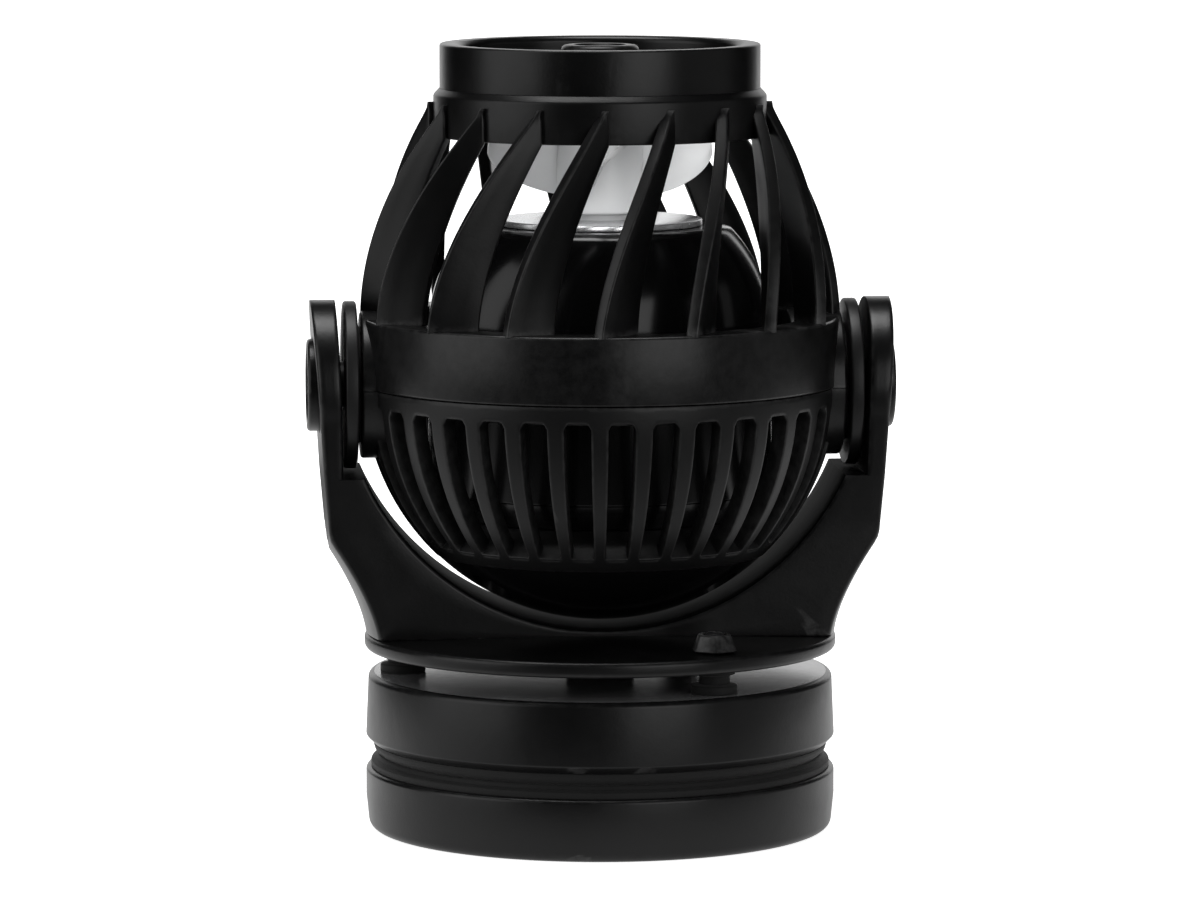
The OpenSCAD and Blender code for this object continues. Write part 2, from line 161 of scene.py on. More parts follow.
def plastic(name, dark, light, rough=(0.30, 0.42), grain=2600.0, grain_h=0.000010, flow=0.35, spec=0.5, coat=0.0, wave=0.0, painted_edge_highlight=None):
    """Moulded plastic: fine mould grain, slow flow marks, handling smears in the gloss, painted highlights along the
    edges.
    """
    m, nt, b, vec = base_material(name)
    slow = noise(nt, vec, 55.0, 4.0, 0.6, 0.4)
    mid = noise(nt, vec, 420.0, 3.0, 0.6)
    col = ramp(nt, slow, [(0.30, dark), (0.70, light)])
    # lighter grey on sharp edges, in patches: a painted highlight along the edges
    if painted_edge_highlight:
        geo = nt.nodes.new("ShaderNodeNewGeometry")
        edge = nt.nodes.new("ShaderNodeMapRange")
        edge.inputs["From Min"].default_value = 0.515
        edge.inputs["From Max"].default_value = 0.555
        nt.links.new(geo.outputs["Pointiness"], edge.inputs["Value"])
        edge_highlight_patchiness = nt.nodes.new("ShaderNodeMapRange")
        edge_highlight_patchiness.inputs["From Min"].default_value = 0.36
        edge_highlight_patchiness.inputs["From Max"].default_value = 0.62
        nt.links.new(noise(nt, vec, 700.0, 5.0, 0.7), edge_highlight_patchiness.inputs["Value"])
        mixer = nt.nodes.new("ShaderNodeMix")
        mixer.data_type = "RGBA"
        nt.links.new(math_node(nt, "MULTIPLY", edge.outputs["Result"], edge_highlight_patchiness.outputs["Result"]), mixer.inputs["Factor"])
        nt.links.new(col, mixer.inputs[6])
        mixer.inputs[7].default_value = (painted_edge_highlight, painted_edge_highlight, painted_edge_highlight, 1.0)
        col = mixer.outputs[2]
    nt.links.new(col, b.inputs["Base Color"])
    mix = math_node(nt, "ADD", math_node(nt, "MULTIPLY", slow, 0.6), math_node(nt, "MULTIPLY", mid, 0.4))
    nt.links.new(clamp_node(nt, mix, rough[0], rough[1]), b.inputs["Roughness"])
    fine = noise(nt, vec, grain, 2.0, 0.5)
    h = math_node(nt, "ADD", math_node(nt, "MULTIPLY", fine, 0.75), math_node(nt, "MULTIPLY", mid, flow))
    if wave:
        h = math_node(nt, "ADD", h, math_node(nt, "MULTIPLY", noise(nt, vec, 170.0, 2.0, 0.5, 0.6), wave))
    bump(nt, b, h, 1.0, grain_h)
    b.inputs["Specular IOR Level"].default_value = spec
    b.inputs["IOR"].default_value = 1.5
    if coat:
        b.inputs["Coat Weight"].default_value = coat
        b.inputs["Coat Roughness"].default_value = 0.08
    return m


def rubber(name, dark, light, rough=(0.55, 0.75)):
    m, nt, b, vec = base_material(name)
    slow = noise(nt, vec, 90.0, 4.0, 0.65)
    col = ramp(nt, slow, [(0.3, dark), (0.75, light)])
    nt.links.new(col, b.inputs["Base Color"])
    fine = noise(nt, vec, 3800.0, 3.0, 0.6)
    nt.links.new(clamp_node(nt, slow, rough[0], rough[1]), b.inputs["Roughness"])
    bump(nt, b, fine, 1.0, 0.00003)
    b.inputs["Specular IOR Level"].default_value = 0.35
    b.inputs["Sheen Weight"].default_value = 0.08
    return m


def metal(name, dark, light, rough=(0.25, 0.4), metallic=1.0, brush=(400.0, 400.0, 9000.0), depth=0.000006):
    m, nt, b, vec = base_material(name)
    v2 = mapping(nt, vec, brush)
    lines = noise(nt, v2, 1.0, 3.0, 0.6)
    slow = noise(nt, vec, 130.0, 3.0, 0.6)
    col = ramp(nt, slow, [(0.3, dark), (0.7, light)])
    nt.links.new(col, b.inputs["Base Color"])
    b.inputs["Metallic"].default_value = metallic
    nt.links.new(clamp_node(nt, math_node(nt, "ADD", math_node(nt, "MULTIPLY", lines, 0.5), math_node(nt, "MULTIPLY", slow, 0.5)), rough[0], rough[1]), b.inputs["Roughness"])
    bump(nt, b, lines, 1.0, depth)
    return m


MAT = {}
# the last argument of these three is the grey of a painted highlight along their edges
MAT["abs"] = plastic("abs_satin_black", (0.0022, 0.0022, 0.0024), (0.0038, 0.0038, 0.0041), (0.22, 0.42), 2600.0, 0.000011, 0.6, wave=3.0, painted_edge_highlight=0.04)
MAT["abs_cage"] = plastic("abs_cage_black", (0.0022, 0.0022, 0.0024), (0.0040, 0.0040, 0.0043), (0.25, 0.45), 2900.0, 0.000010, 0.6, wave=3.0, painted_edge_highlight=0.045)
MAT["abs_ribs"] = plastic("abs_rib_black", (0.0040, 0.0040, 0.0042), (0.0065, 0.0065, 0.0068), (0.30, 0.48), 2400.0, 0.000012, 0.6, wave=2.0, painted_edge_highlight=0.03)
# dulled copy of the black ABS for the yoke's inner faces, which are one moulding with the rest: painted shade,
# reflections taken away so they render dark
MAT["abs_inner_painted_shade"] = plastic("abs_black_painted_shade", (0.0030, 0.0030, 0.0032), (0.0050, 0.0050, 0.0053), (0.60, 0.75), 1800.0, 0.000020, 0.6, 0.05)
MAT["pod"] = plastic("abs_gloss_black", (0.0022, 0.0022, 0.0024), (0.0032, 0.0032, 0.0035), (0.15, 0.22), 900.0, 0.000003, 0.5)
# grained top of the wet housing: the same black ABS, coloured light grey as a painted sheen for its grazing reflections
MAT["grain_top_painted_sheen"] = plastic("abs_grained_painted_sheen", (0.070, 0.070, 0.0715), (0.170, 0.170, 0.173), (0.13, 0.26), 3600.0, 0.000016, 0.8)
MAT["nylon"] = plastic("nylon_dark", (0.006, 0.006, 0.0063), (0.010, 0.010, 0.0104), (0.35, 0.5), 2200.0, 0.000014)
MAT["rubber"] = rubber("rubber_black", (0.0045, 0.0045, 0.0045), (0.009, 0.009, 0.009))
MAT["cover"] = metal("cover_silver_metal", (0.66, 0.67, 0.68), (0.80, 0.80, 0.81), (0.20, 0.32), 0.85, (500.0, 5000.0, 500.0), 0.000004)
MAT["steel"] = metal("steel_plain", (0.45, 0.45, 0.46), (0.60, 0.60, 0.60), (0.28, 0.4))
MAT["steel_black"] = metal("steel_black_coated", (0.012, 0.012, 0.013), (0.025, 0.025, 0.026), (0.35, 0.5), 0.3, (2500.0, 2500.0, 2500.0))
MAT["nickel"] = metal("magnet_nickel", (0.58, 0.57, 0.55), (0.68, 0.67, 0.65), (0.12, 0.22), 1.0, (900.0, 900.0, 900.0), 0.000002)
MAT["ferrite"] = metal("magnet_ferrite", (0.045, 0.045, 0.05), (0.07, 0.07, 0.075), (0.45, 0.6), 0.4, (1500.0, 1500.0, 1500.0))
MAT["stator"] = metal("stator_laminations", (0.25, 0.27, 0.30), (0.38, 0.40, 0.43), (0.35, 0.5), 0.9, (60.0, 60.0, 5200.0), 0.00004)
MAT["copper"] = metal("copper_winding", (0.50, 0.22, 0.11), (0.66, 0.33, 0.17), (0.25, 0.4), 0.9, (60.0, 60.0, 4200.0), 0.00008)
MAT["resin"] = plastic("potting_resin", (0.010, 0.009, 0.008), (0.022, 0.020, 0.018), (0.15, 0.3), 600.0, 0.00002)
MAT["ceramic"] = plastic("ceramic_white", (0.70, 0.69, 0.66), (0.82, 0.81, 0.78), (0.18, 0.28), 3000.0, 0.000004)


def impeller_material():
    m, nt, b, vec = base_material("impeller_white")
    slow = noise(nt, vec, 110.0, 4.0, 0.6)
    col = ramp(nt, slow, [(0.3, (0.80, 0.81, 0.82)), (0.75, (0.88, 0.885, 0.885))])
    nt.links.new(col, b.inputs["Base Color"])
    nt.links.new(clamp_node(nt, slow, 0.26, 0.38), b.inputs["Roughness"])
    fine = noise(nt, vec, 2600.0, 2.0, 0.5)
    bump(nt, b, fine, 1.0, 0.000006)
    b.inputs["Subsurface Weight"].default_value = 0.35
    b.inputs["Subsurface Radius"].default_value = (1.0, 1.0, 1.0)
    b.inputs["Subsurface Scale"].default_value = 0.0025
    return m


MAT["impeller"] = impeller_material()


# ------------------------------------------------------------------ mesh tools
def fillet(pts, default=0.0, n=4):
    """Rounds the corners of a closed outline of (a, b) or (a, b, radius)."""
    out = []
    count = len(pts)
    for i, p in enumerate(pts):
        r = p[2] if len(p) > 2 else default
        a = Vector(pts[i - 1][:2])
        c = Vector(p[:2])
        d = Vector(pts[(i + 1) % count][:2])
        u, w = a - c, d - c
        if r <= 0 or u.length < 1e-9 or w.length < 1e-9 or abs(c.x) < 1e-9:
            out.append((c.x, c.y))
            continue
        ang = u.angle(w)
        if ang > math.radians(176):
            out.append((c.x, c.y))
            continue
        t = min(r / math.tan(ang / 2), 0.48 * u.length, 0.48 * w.length)
        rr = t * math.tan(ang / 2)
        centre = c + (u.normalized() + w.normalized()).normalized() * (rr / math.sin(ang / 2))
        s, e = c + u.normalized() * t - centre, c + w.normalized() * t - centre
        a0, a1 = math.atan2(s.y, s.x), math.atan2(e.y, e.x)
        da = (a1 - a0 + math.pi) % (2 * math.pi) - math.pi
        for k in range(n + 1):
            q = a0 + da * k / n
            out.append((centre.x + rr * math.cos(q), centre.y + rr * math.sin(q)))
    return out


def add_revolve(bm, prof, seg=192, where=None, a0=0.0, a1=360.0):
    """Turns a closed (r, z) outline round Z. where is a matrix in millimetres. A part turn is capped."""
    full = abs(a1 - a0) >= 359.9
    cols = seg if full else seg + 1
    rings = []
    for k in range(cols):
        a = math.radians(a0 + (a1 - a0) * k / seg)
        rings.append([Vector((r * math.cos(a), r * math.sin(a), z)) for r, z in prof])
    verts = []
    axis = {}
    for ring in rings:
        row = []
        for i, co in enumerate(ring):
            if abs(prof[i][0]) < 1e-7:
                if i not in axis:
                    axis[i] = bm.verts.new(where @ co if where else co)
                row.append(axis[i])
            else:
                row.append(bm.verts.new(where @ co if where else co))
        verts.append(row)
    m = len(prof)
    for k in range(seg):
        ra, rb = verts[k], verts[(k + 1) % cols]
        for i in range(m):
            j = (i + 1) % m
            vs = []
            for v in (ra[i], rb[i], rb[j], ra[j]):
                if v not in vs:
                    vs.append(v)
            if len(vs) >= 3:
                try:
                    bm.faces.new(vs)
                except ValueError:
                    pass
    if not full:
        for row in (verts[0], verts[-1]):
            vs = []
            for v in row:
                if v not in vs:
                    vs.append(v)
            bm.faces.new(vs)
    return bm


def add_loft(bm, loops, cap=True):
    """Joins closed loops of the same length into a tube."""
    rows = [[bm.verts.new(p) for p in loop] for loop in loops]
    n = len(rows[0])
    for a, b in zip(rows[:-1], rows[1:]):
        for i in range(n):
            j = (i + 1) % n
            bm.faces.new((a[i], a[j], b[j], b[i]))
    if cap:
        bm.faces.new(rows[0])
        bm.faces.new(list(reversed(rows[-1])))
    return rows


def add_block(bm, lo, hi, where=None):
    vs = []
    for z in (lo[2], hi[2]):
        for x, y in ((lo[0], lo[1]), (hi[0], lo[1]), (hi[0], hi[1]), (lo[0], hi[1])):
            co = Vector((x, y, z))
            vs.append(bm.verts.new(where @ co if where else co))
    for f in ((0, 3, 2, 1), (4, 5, 6, 7), (0, 1, 5, 4), (1, 2, 6, 5), (2, 3, 7, 6), (3, 0, 4, 7)):
        bm.faces.new([vs[i] for i in f])
    return vs


def bevel_all(bm, geom, width, seg=2, angle=30.0):
    bm.normal_update()
    edges = [e for e in geom if e.is_valid and len(e.link_faces) == 2 and e.calc_face_angle(0.0) > math.radians(angle)]
    if edges:
        bmesh.ops.bevel(bm, geom=edges, offset=width, segments=seg, profile=0.5, affect="EDGES", clamp_overlap=True)


def piece(name, bm, body, mats, nodes=(), sharp=32.0, assign=None):
    """Turns a bmesh in millimetres into a finished piece that stands for the CAD nodes given."""
    bmesh.ops.remove_doubles(bm, verts=bm.verts, dist=1e-5)
    bmesh.ops.recalc_face_normals(bm, faces=bm.faces)
    for v in bm.verts:
        v.co *= MM
    me = bpy.data.meshes.new(name)
    for m in mats:
        me.materials.append(MAT[m])
    for f in bm.faces:
        f.smooth = True
        if assign:
            f.material_index = assign(f)
    bm.to_mesh(me)
    bm.free()
    me.set_sharp_from_angle(angle=math.radians(sharp))
    ob = bpy.data.objects.new(name, me)
    bpy.context.scene.collection.objects.link(ob)
    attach(ob, body)
    if nodes:
        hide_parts(*nodes)
    return ob


def apply_modifiers(ob, sharp=32.0):
    dg = bpy.context.evaluated_depsgraph_get()
    ev = ob.evaluated_get(dg)
    me = bpy.data.meshes.new_from_object(ev, preserve_all_data_layers=True, depsgraph=dg)
    old = ob.data
    ob.modifiers.clear()
    ob.data = me
    me.name = old.name
    me.set_sharp_from_angle(angle=math.radians(sharp))


def cut(ob, cutter_bm, sharp=32.0):
    """Cuts a shape out of a finished piece."""
    for v in cutter_bm.verts:
        v.co *= MM
    bmesh.ops.recalc_face_normals(cutter_bm, faces=cutter_bm.faces)
    me = bpy.data.meshes.new("cutter")
    cutter_bm.to_mesh(me)
    cutter_bm.free()
    co = bpy.data.objects.new("cutter", me)
    bpy.context.scene.collection.objects.link(co)
    mod = ob.modifiers.new("cut", "BOOLEAN")
    mod.operation = "DIFFERENCE"
    mod.solver = "EXACT"
    mod.object = co
    apply_modifiers(ob, sharp)
    for p in ob.data.polygons:
        p.use_smooth = True
    bpy.data.objects.remove(co)


def T(x=0.0, y=0.0, z=0.0):
    return Matrix.Translation((x, y, z))


HEAD = T(0, 0, P)
AX = {1: Matrix.Rotation(math.radians(90), 4, "Y"), -1: Matrix.Rotation(math.radians(-90), 4, "Y")}


def planar(r, phi):
    a = math.radians(phi)
    return r * math.sin(a), -r * math.cos(a)


# ------------------------------------------------------------------ magnet mount
def build_mount():
    bm = bmesh.new()
    h = dry_hi[2]
    add_revolve(bm, fillet([(0, 0), (DISC - 0.45, 0, 1.3), (DISC, h * 0.55, 0), (DISC, h, 0.55), (27.6, h, 0.25), (27.6, 1.6, 0.3), (0, 1.6)], n=6), 224)
    piece("dry_housing_shell", bm, "dry_side", ["abs"], ["dry_housing"])

    bm = bmesh.new()
    lo, hi = mm_box("dry_pad")
    z0, t = lo[2], hi[2] - lo[2]
    add_revolve(bm, fillet([(0, z0), (DISC - 0.65, z0, 0.1), (DISC - 0.65, z0 + 0.50 * t, 0.25), (DISC - 1.25, z0 + 0.66 * t, 0.2), (DISC - 1.45, z0 + t, 0.3), (0, z0 + t)], n=4), 192)
    piece("dry_rubber_pad", bm, "dry_side", ["rubber"], ["dry_pad"])

    bm = bmesh.new()
    lo, hi = mm_box("wet_pad")
    z0, t = lo[2], hi[2] - lo[2]
    add_revolve(bm, fillet([(0, z0), (DISC - 1.7, z0, 0.25), (DISC - 1.15, z0 + 0.35 * t, 0.2), (DISC - 1.0, z0 + 0.7 * t, 0.2), (DISC - 1.0, z0 + t, 0.1), (0, z0 + t)], n=4), 192)
    piece("wet_rubber_pad", bm, "glass_pad", ["rubber"], ["wet_pad"])

    bm = bmesh.new()
    z0, z1 = wet_lo[2], wet_hi[2]
    add_revolve(
        bm,
        fillet([(27.6, z0, 0.2), (DISC - 0.95, z0, 0.25), (DISC, z0 + 0.95, 0.35), (DISC - 0.35, z1, 0.75), (0, z1), (0, z1 - 2.5), (27.6, z1 - 2.5, 0.4)], n=6),
        224,
    )
    top = z1 * MM

    # the grained top face inside the rim gets the painted-sheen grey
    def pick_painted_sheen_top(f):
        c = f.calc_center_median()
        return 1 if c.z > top - 0.00003 and math.hypot(c.x, c.y) < (DISC - 1.0) * MM else 0

    piece("wet_housing_shell", bm, "wet_side", ["abs", "grain_top_painted_sheen"], ["wet_housing"], assign=pick_painted_sheen_top)

    bm = bmesh.new()
    z0, z1 = post_lo[2], post_hi[2]
    add_revolve(bm, fillet([(0, z0), (4.7, z0, 0.1), (4.4, z0 + 0.45, 0.3), (4.35, z1 - 0.5, 0.3), (4.7, z1, 0.1), (0, z1)], n=4), 64)
    piece("centre_rubber_post", bm, "wet_side", ["rubber"], ["centre_post"])

    # isolators, studs and nuts
    g = post_hi[2] - post_lo[2]
    bm = bmesh.new()
    bs = bmesh.new()
    bn = bmesh.new()
    for i, a in enumerate(ISO):
        q = math.radians(a)
        w = T(25.4 * math.cos(q), 25.4 * math.sin(q), wet_hi[2])
        prof = [(1.5, 0.0, 0.05), (2.9, 0.0, 0.15), (2.9, 0.36 * g, 0.25), (1.95, 0.42 * g, 0.15), (1.95, 0.76 * g, 0.15), (2.6, 0.8 * g, 0.15), (2.6, g, 0.15), (1.5, g, 0.05)]
        add_revolve(bm, fillet(prof, n=4), 56, w)
        # threaded stud
        top = PLATE_TOP + (4.0 if i == 0 else 2.3) - wet_hi[2]
        prof = [(0.0, -1.8)]
        z, pitch = -1.6, 0.5
        while z + pitch < top - 0.5:
            prof += [(1.20, z), (1.44, z + 0.25)]
            z += pitch
        prof += [(1.2, z), (1.2, top - 0.25), (0.95, top), (0.0, top)]
        add_revolve(bs, prof, 28, w)
        if i:
            w2 = T(25.4 * math.cos(q), 25.4 * math.sin(q), PLATE_TOP) @ Matrix.Rotation(math.radians(a - 30), 4, "Z")
            loops = []
            for r, z, inset in ((2.93, 0.0, 0.10), (3.03, 0.12, 0.14), (2.93, 0.3, 0.14), (2.28, 1.92, 0.14), (2.05, 2.1, 0.10)):
                loop = []
                for k in range(6):
                    for s in (-1, 0, 1):
                        t = math.radians(60 * k + s * 5.5)
                        rr = r * (1.0 - 0.018 * abs(s)) * (1.0 if s else 0.985)
                        loop.append(w2 @ Vector((rr * math.cos(t), rr * math.sin(t), z)))
                loops.append(loop)
            for r, z in ((1.62, 2.1), (1.5, 1.95), (1.5, 0.02)):
                loop = []
                for k in range(6):
                    for s in (-1, 0, 1):
                        t = math.radians(60 * k + s * 20)
                        loop.append(w2 @ Vector((r * math.cos(t), r * math.sin(t), z)))
                loops.append(loop)
            loops.append(loops[0])
            rows = [[bn.verts.new(p) for p in loop] for loop in loops[:-1]]
            rows.append(rows[0])
            m = len(rows[0])
            for ra, rb in zip(rows[:-1], rows[1:]):
                for j in range(m):
                    bn.faces.new((ra[j], ra[(j + 1) % m], rb[(j + 1) % m], rb[j]))
    piece("isolator_spools", bm, "wet_side", ["rubber"], ["isolators"])
    piece("isolator_stud_threads", bs, "wet_side", ["steel_black"], ["isolator_studs"], sharp=50)
    piece("isolator_hex_nuts", bn, "wet_side", ["abs"], ["isolator_nuts"], sharp=28)


ISO = (180.0, -60.0, 60.0)


# ------------------------------------------------------------------ yoke
def flare(z):
    return PLATE_R - 0.2 + 5.15 * max(0.0, (z - HIP + 12) / 11.9) ** 1.5


def rev_r(z):
    """Radius of the turned outer surface of the yoke's lower half."""
    pts = [(HIP + 0.3, flare(HIP + 0.3)), (HIP + 3.3, 37.2), (HIP + 8.3, 40), (HIP + 16.3, 46), (P + 20, 60)]
    if z <= pts[0][0]:
        return flare(z)
    for (za, ra), (zb, rb) in zip(pts[:-1], pts[1:]):
        if z <= zb:
            return ra + (rb - ra) * (z - za) / (zb - za)
    return 60.0


def plane_x(z):
    pts = [(HIP, 35.0), (P - 11.3, 35.75), (P, 36.4), (P + 12, 37.3)]
    if z <= pts[0][0]:
        return 80.0
    for (za, xa), (zb, xb) in zip(pts[:-1], pts[1:]):
        if z <= zb:
            return xa + (xb - xa) * (z - za) / (zb - za)
    return pts[-1][1]


def inner_x(z):
    """The arms' inner faces, drafted a little outwards towards the top."""
    t = z - P
    return 33.5 + (0.6 * t / 13 if t > 0 else 0.2 * t / 11.11)


def outer_x(z, y):
    r = rev_r(z)
    return min(plane_x(z), math.sqrt(max(0.0, r * r - y * y)))


def half_depth(z):
    arm, web = 10.9, 8.8
    lower = web + (web + 0.2 - web) * 0 + (0.2 * (z - PLATE_TOP) / (P - 17.3 - PLATE_TOP) if z < P - 17.3 else 0.2 + (arm - 0.3 - web - 0.2) * (z - P + 17.3) / 17.3)
    if z > P + 0.0:
        return math.sqrt(max(0.0, arm * arm - (z - P) ** 2))
    if z > P - arm:
        return max(lower, math.sqrt(max(0.0, arm * arm - (z - P) ** 2)))
    return lower


def build_yoke():
    arm = 10.9
    stations = []  # (inner x, inner z, outer z or None, outer point)
    # arm, from its round top down to the ledge
    for k in range(0, 33):
        q = math.radians(2.0 + 88.0 * k / 32)
        stations.append((inner_x(P + arm * math.cos(q)), P + arm * math.cos(q), None))
    for k in range(1, 15):
        z = P - (11.1 * k / 14)
        stations.append((inner_x(z), z, None))
    # ledge, with a small inner radius
    zl = P - 11.1
    xl = math.sqrt(U_R ** 2 - (11.1 + U_C) ** 2)
    for k in range(1, 4):
        stations.append((33.3 + (xl - 33.3) * k / 3, zl, zl - 0.12 * k))
    # round bottom of the U
    a_start = math.asin(xl / U_R)
    n = 64
    for k in range(1, n + 1):
        a = a_start * (1 - k / n)
        xi, zi = U_R * math.sin(a), P + U_C - U_R * math.cos(a)
        stations.append((xi, zi, "u"))
    bm = bmesh.new()
    # outer path for the U part: down the outside of the arm, then in along the plate
    path = []
    z = zl - 0.4
    while z > PLATE_TOP - 0.35:
        path.append((None, z))
        z -= 0.35
    foot_z = PLATE_TOP - 0.35
    x = outer_x(foot_z, 0.0)
    path.append((None, foot_z))
    while x > 0.4:
        x -= 0.5
        path.append((max(x, 0.0), foot_z))
    path.append((0.0, foot_z))

    def path_len():
        L = [0.0]
        pts = [(outer_x(z, 0.0) if xx is None else xx, z) for xx, z in path]
        for a, b in zip(pts[:-1], pts[1:]):
            L.append(L[-1] + math.hypot(b[0] - a[0], b[1] - a[1]))
        return L

    L = path_len()
    u_count = sum(1 for s in stations if s[2] == "u")
    u_i = 0
    loops = []
    for xi, zi, zo in stations:
        if zo == "u":
            u_i += 1
            # the outside runs faster over the tall part so that the rungs stay roughly square to the U
            t = (u_i / u_count) ** 0.86
            d = L[-1] * t
            k = 0
            while k < len(L) - 2 and L[k + 1] < d:
                k += 1
            f = (d - L[k]) / max(1e-9, L[k + 1] - L[k])
            za = path[k][1] + (path[k + 1][1] - path[k][1]) * min(1.0, f)
            if path[k][0] is None and path[k + 1][0] is None:
                oz, ox = za, None
            else:
                xa = outer_x(path[k][1], 0.0) if path[k][0] is None else path[k][0]
                oz, ox = za, xa + (path[k + 1][0] - xa) * min(1.0, f)
        else:
            oz, ox = (zi if zo is None else zo), None
        loops.append(yoke_loop(xi, zi, ox, oz))
    mirror = [[Vector((-p.x, p.y, p.z)) for p in reversed_loop(loop)] for loop in loops]
    full = loops[:-1] + [loops[-1]] + list(reversed(mirror))[1:]
    add_loft(bm, full)
    bmesh.ops.remove_doubles(bm, verts=bm.verts, dist=1e-4)
    ob_bm = bm
    # foot plate
    pz, pt, r = PLATE_Z, PLATE_TOP, PLATE_R
    add_revolve(ob_bm, fillet([(0, pz), (r, pz, 0.7), (r, pt - 0.3, 0.6), (10, pt + 0.15, 4.0), (0, pt + 0.15)], n=6), 224)
    # the U's inner face, its ledge and the arms' inner walls take the dulled copy: painted shade
    def inside(f):
        c = f.calc_center_median() / MM
        on_u = abs(math.hypot(c.x, c.z - P - U_C) - U_R) < 0.12 and abs(c.y) < 9.4
        ledge = abs(c.z - (P - 11.1)) < 0.12 and abs(c.x) < 33.5
        wall = abs(abs(c.x) - inner_x(c.z)) < 0.12 and c.z > P - 11.2
        return 1 if on_u or ledge or wall else 0

    ob = piece("yoke_moulding", ob_bm, "wet_side", ["abs", "abs_inner_painted_shade"], ["yoke"], sharp=38, assign=inside)
    c = bmesh.new()
    for s in (1, -1):
        prof = fillet([(0, 35.45), (6.2, 35.45, 0.2), (6.2, 38.6), (0, 38.6)], n=3)
        add_revolve(c, prof, 96, HEAD @ AX[s])
    cut(ob, c, 38)
    return ob


def reversed_loop(loop):
    return loop


def yoke_loop(xi, zi, ox, oz):
    """One rung of the U: inner edge, front side, outer edge, back side, with rounded corners."""
    # the depth follows the height of each point, so the arm's outline is round seen from the side
    def depth_at(u):
        z = zi + (oz - zi) * u
        return half_depth(z)

    w0 = math.hypot((ox if ox is not None else outer_x(oz, 0.0)) - xi, oz - zi)
    d = min(depth_at(0.0), depth_at(1.0))
    rf = max(0.02, min(0.55, 0.3 * w0, 0.45 * d))
    pts = []

    def point(u, y):
        x_out = outer_x(oz, y) if ox is None else ox * outer_x(oz, y) / outer_x(oz, 0.0)
        return Vector((xi + (x_out - xi) * u, y, zi + (oz - zi) * u))

    ru = rf / w0
    # inner edge, from -y to +y
    di, do = depth_at(0.0), depth_at(1.0)
    for k in range(7):
        pts.append(point(0.0, (di - rf) * (-1 + 2 * k / 6)))
    for k in (1, 2, 3):
        q = math.radians(90 * k / 4)
        u = ru * (1 - math.cos(q))
        pts.append(point(u, depth_at(u) - rf + rf * math.sin(q)))
    for k in range(5):
        u = ru + (1 - 2 * ru) * k / 4
        pts.append(point(u, depth_at(u)))
    for k in (3, 2, 1):
        q = math.radians(90 * k / 4)
        u = 1 - ru * (1 - math.cos(q))
        pts.append(point(u, depth_at(u) - rf + rf * math.sin(q)))
    for k in range(9):
        pts.append(point(1.0, (do - rf) * (1 - 2 * k / 8)))
    for k in (1, 2, 3):
        q = math.radians(90 * k / 4)
        u = 1 - ru * (1 - math.cos(q))
        pts.append(point(u, -(depth_at(u) - rf + rf * math.sin(q))))
    for k in range(5):
        u = 1 - ru - (1 - 2 * ru) * k / 4
        pts.append(point(u, -depth_at(u)))
    for k in (3, 2, 1):
        q = math.radians(90 * k / 4)
        u = ru * (1 - math.cos(q))
        pts.append(point(u, -(depth_at(u) - rf + rf * math.sin(q))))
    return pts


# ------------------------------------------------------------------ front cage
def vt(z):
    return max(0.0, (z - RING_TOP) / (VANE_TIP - RING_TOP))


def vs(z):
    return min(1.0, max(0.0, (z - RING_TOP) / (SKIRT0 - RING_TOP)))


def v_in(z):
    return 26 - (26 - SKIRT_R + 0.15) * vs(z) ** 1.53


def v_out(z):
    return max(v_in(z) + 0.25, 30.6 - 0.3 - (30.6 - SKIRT_R) * vt(z) ** 1.87)


def v_phi(z):
    t = vt(z)
    return 24.0 * (0.28 * t + 0.72 * t * t)


def v_dphi(z):
    return 10 - 2.9 * vs(z) ** 0.85 if z < SKIRT0 else v_phi(SKIRT0) + 7.1 - v_phi(z)


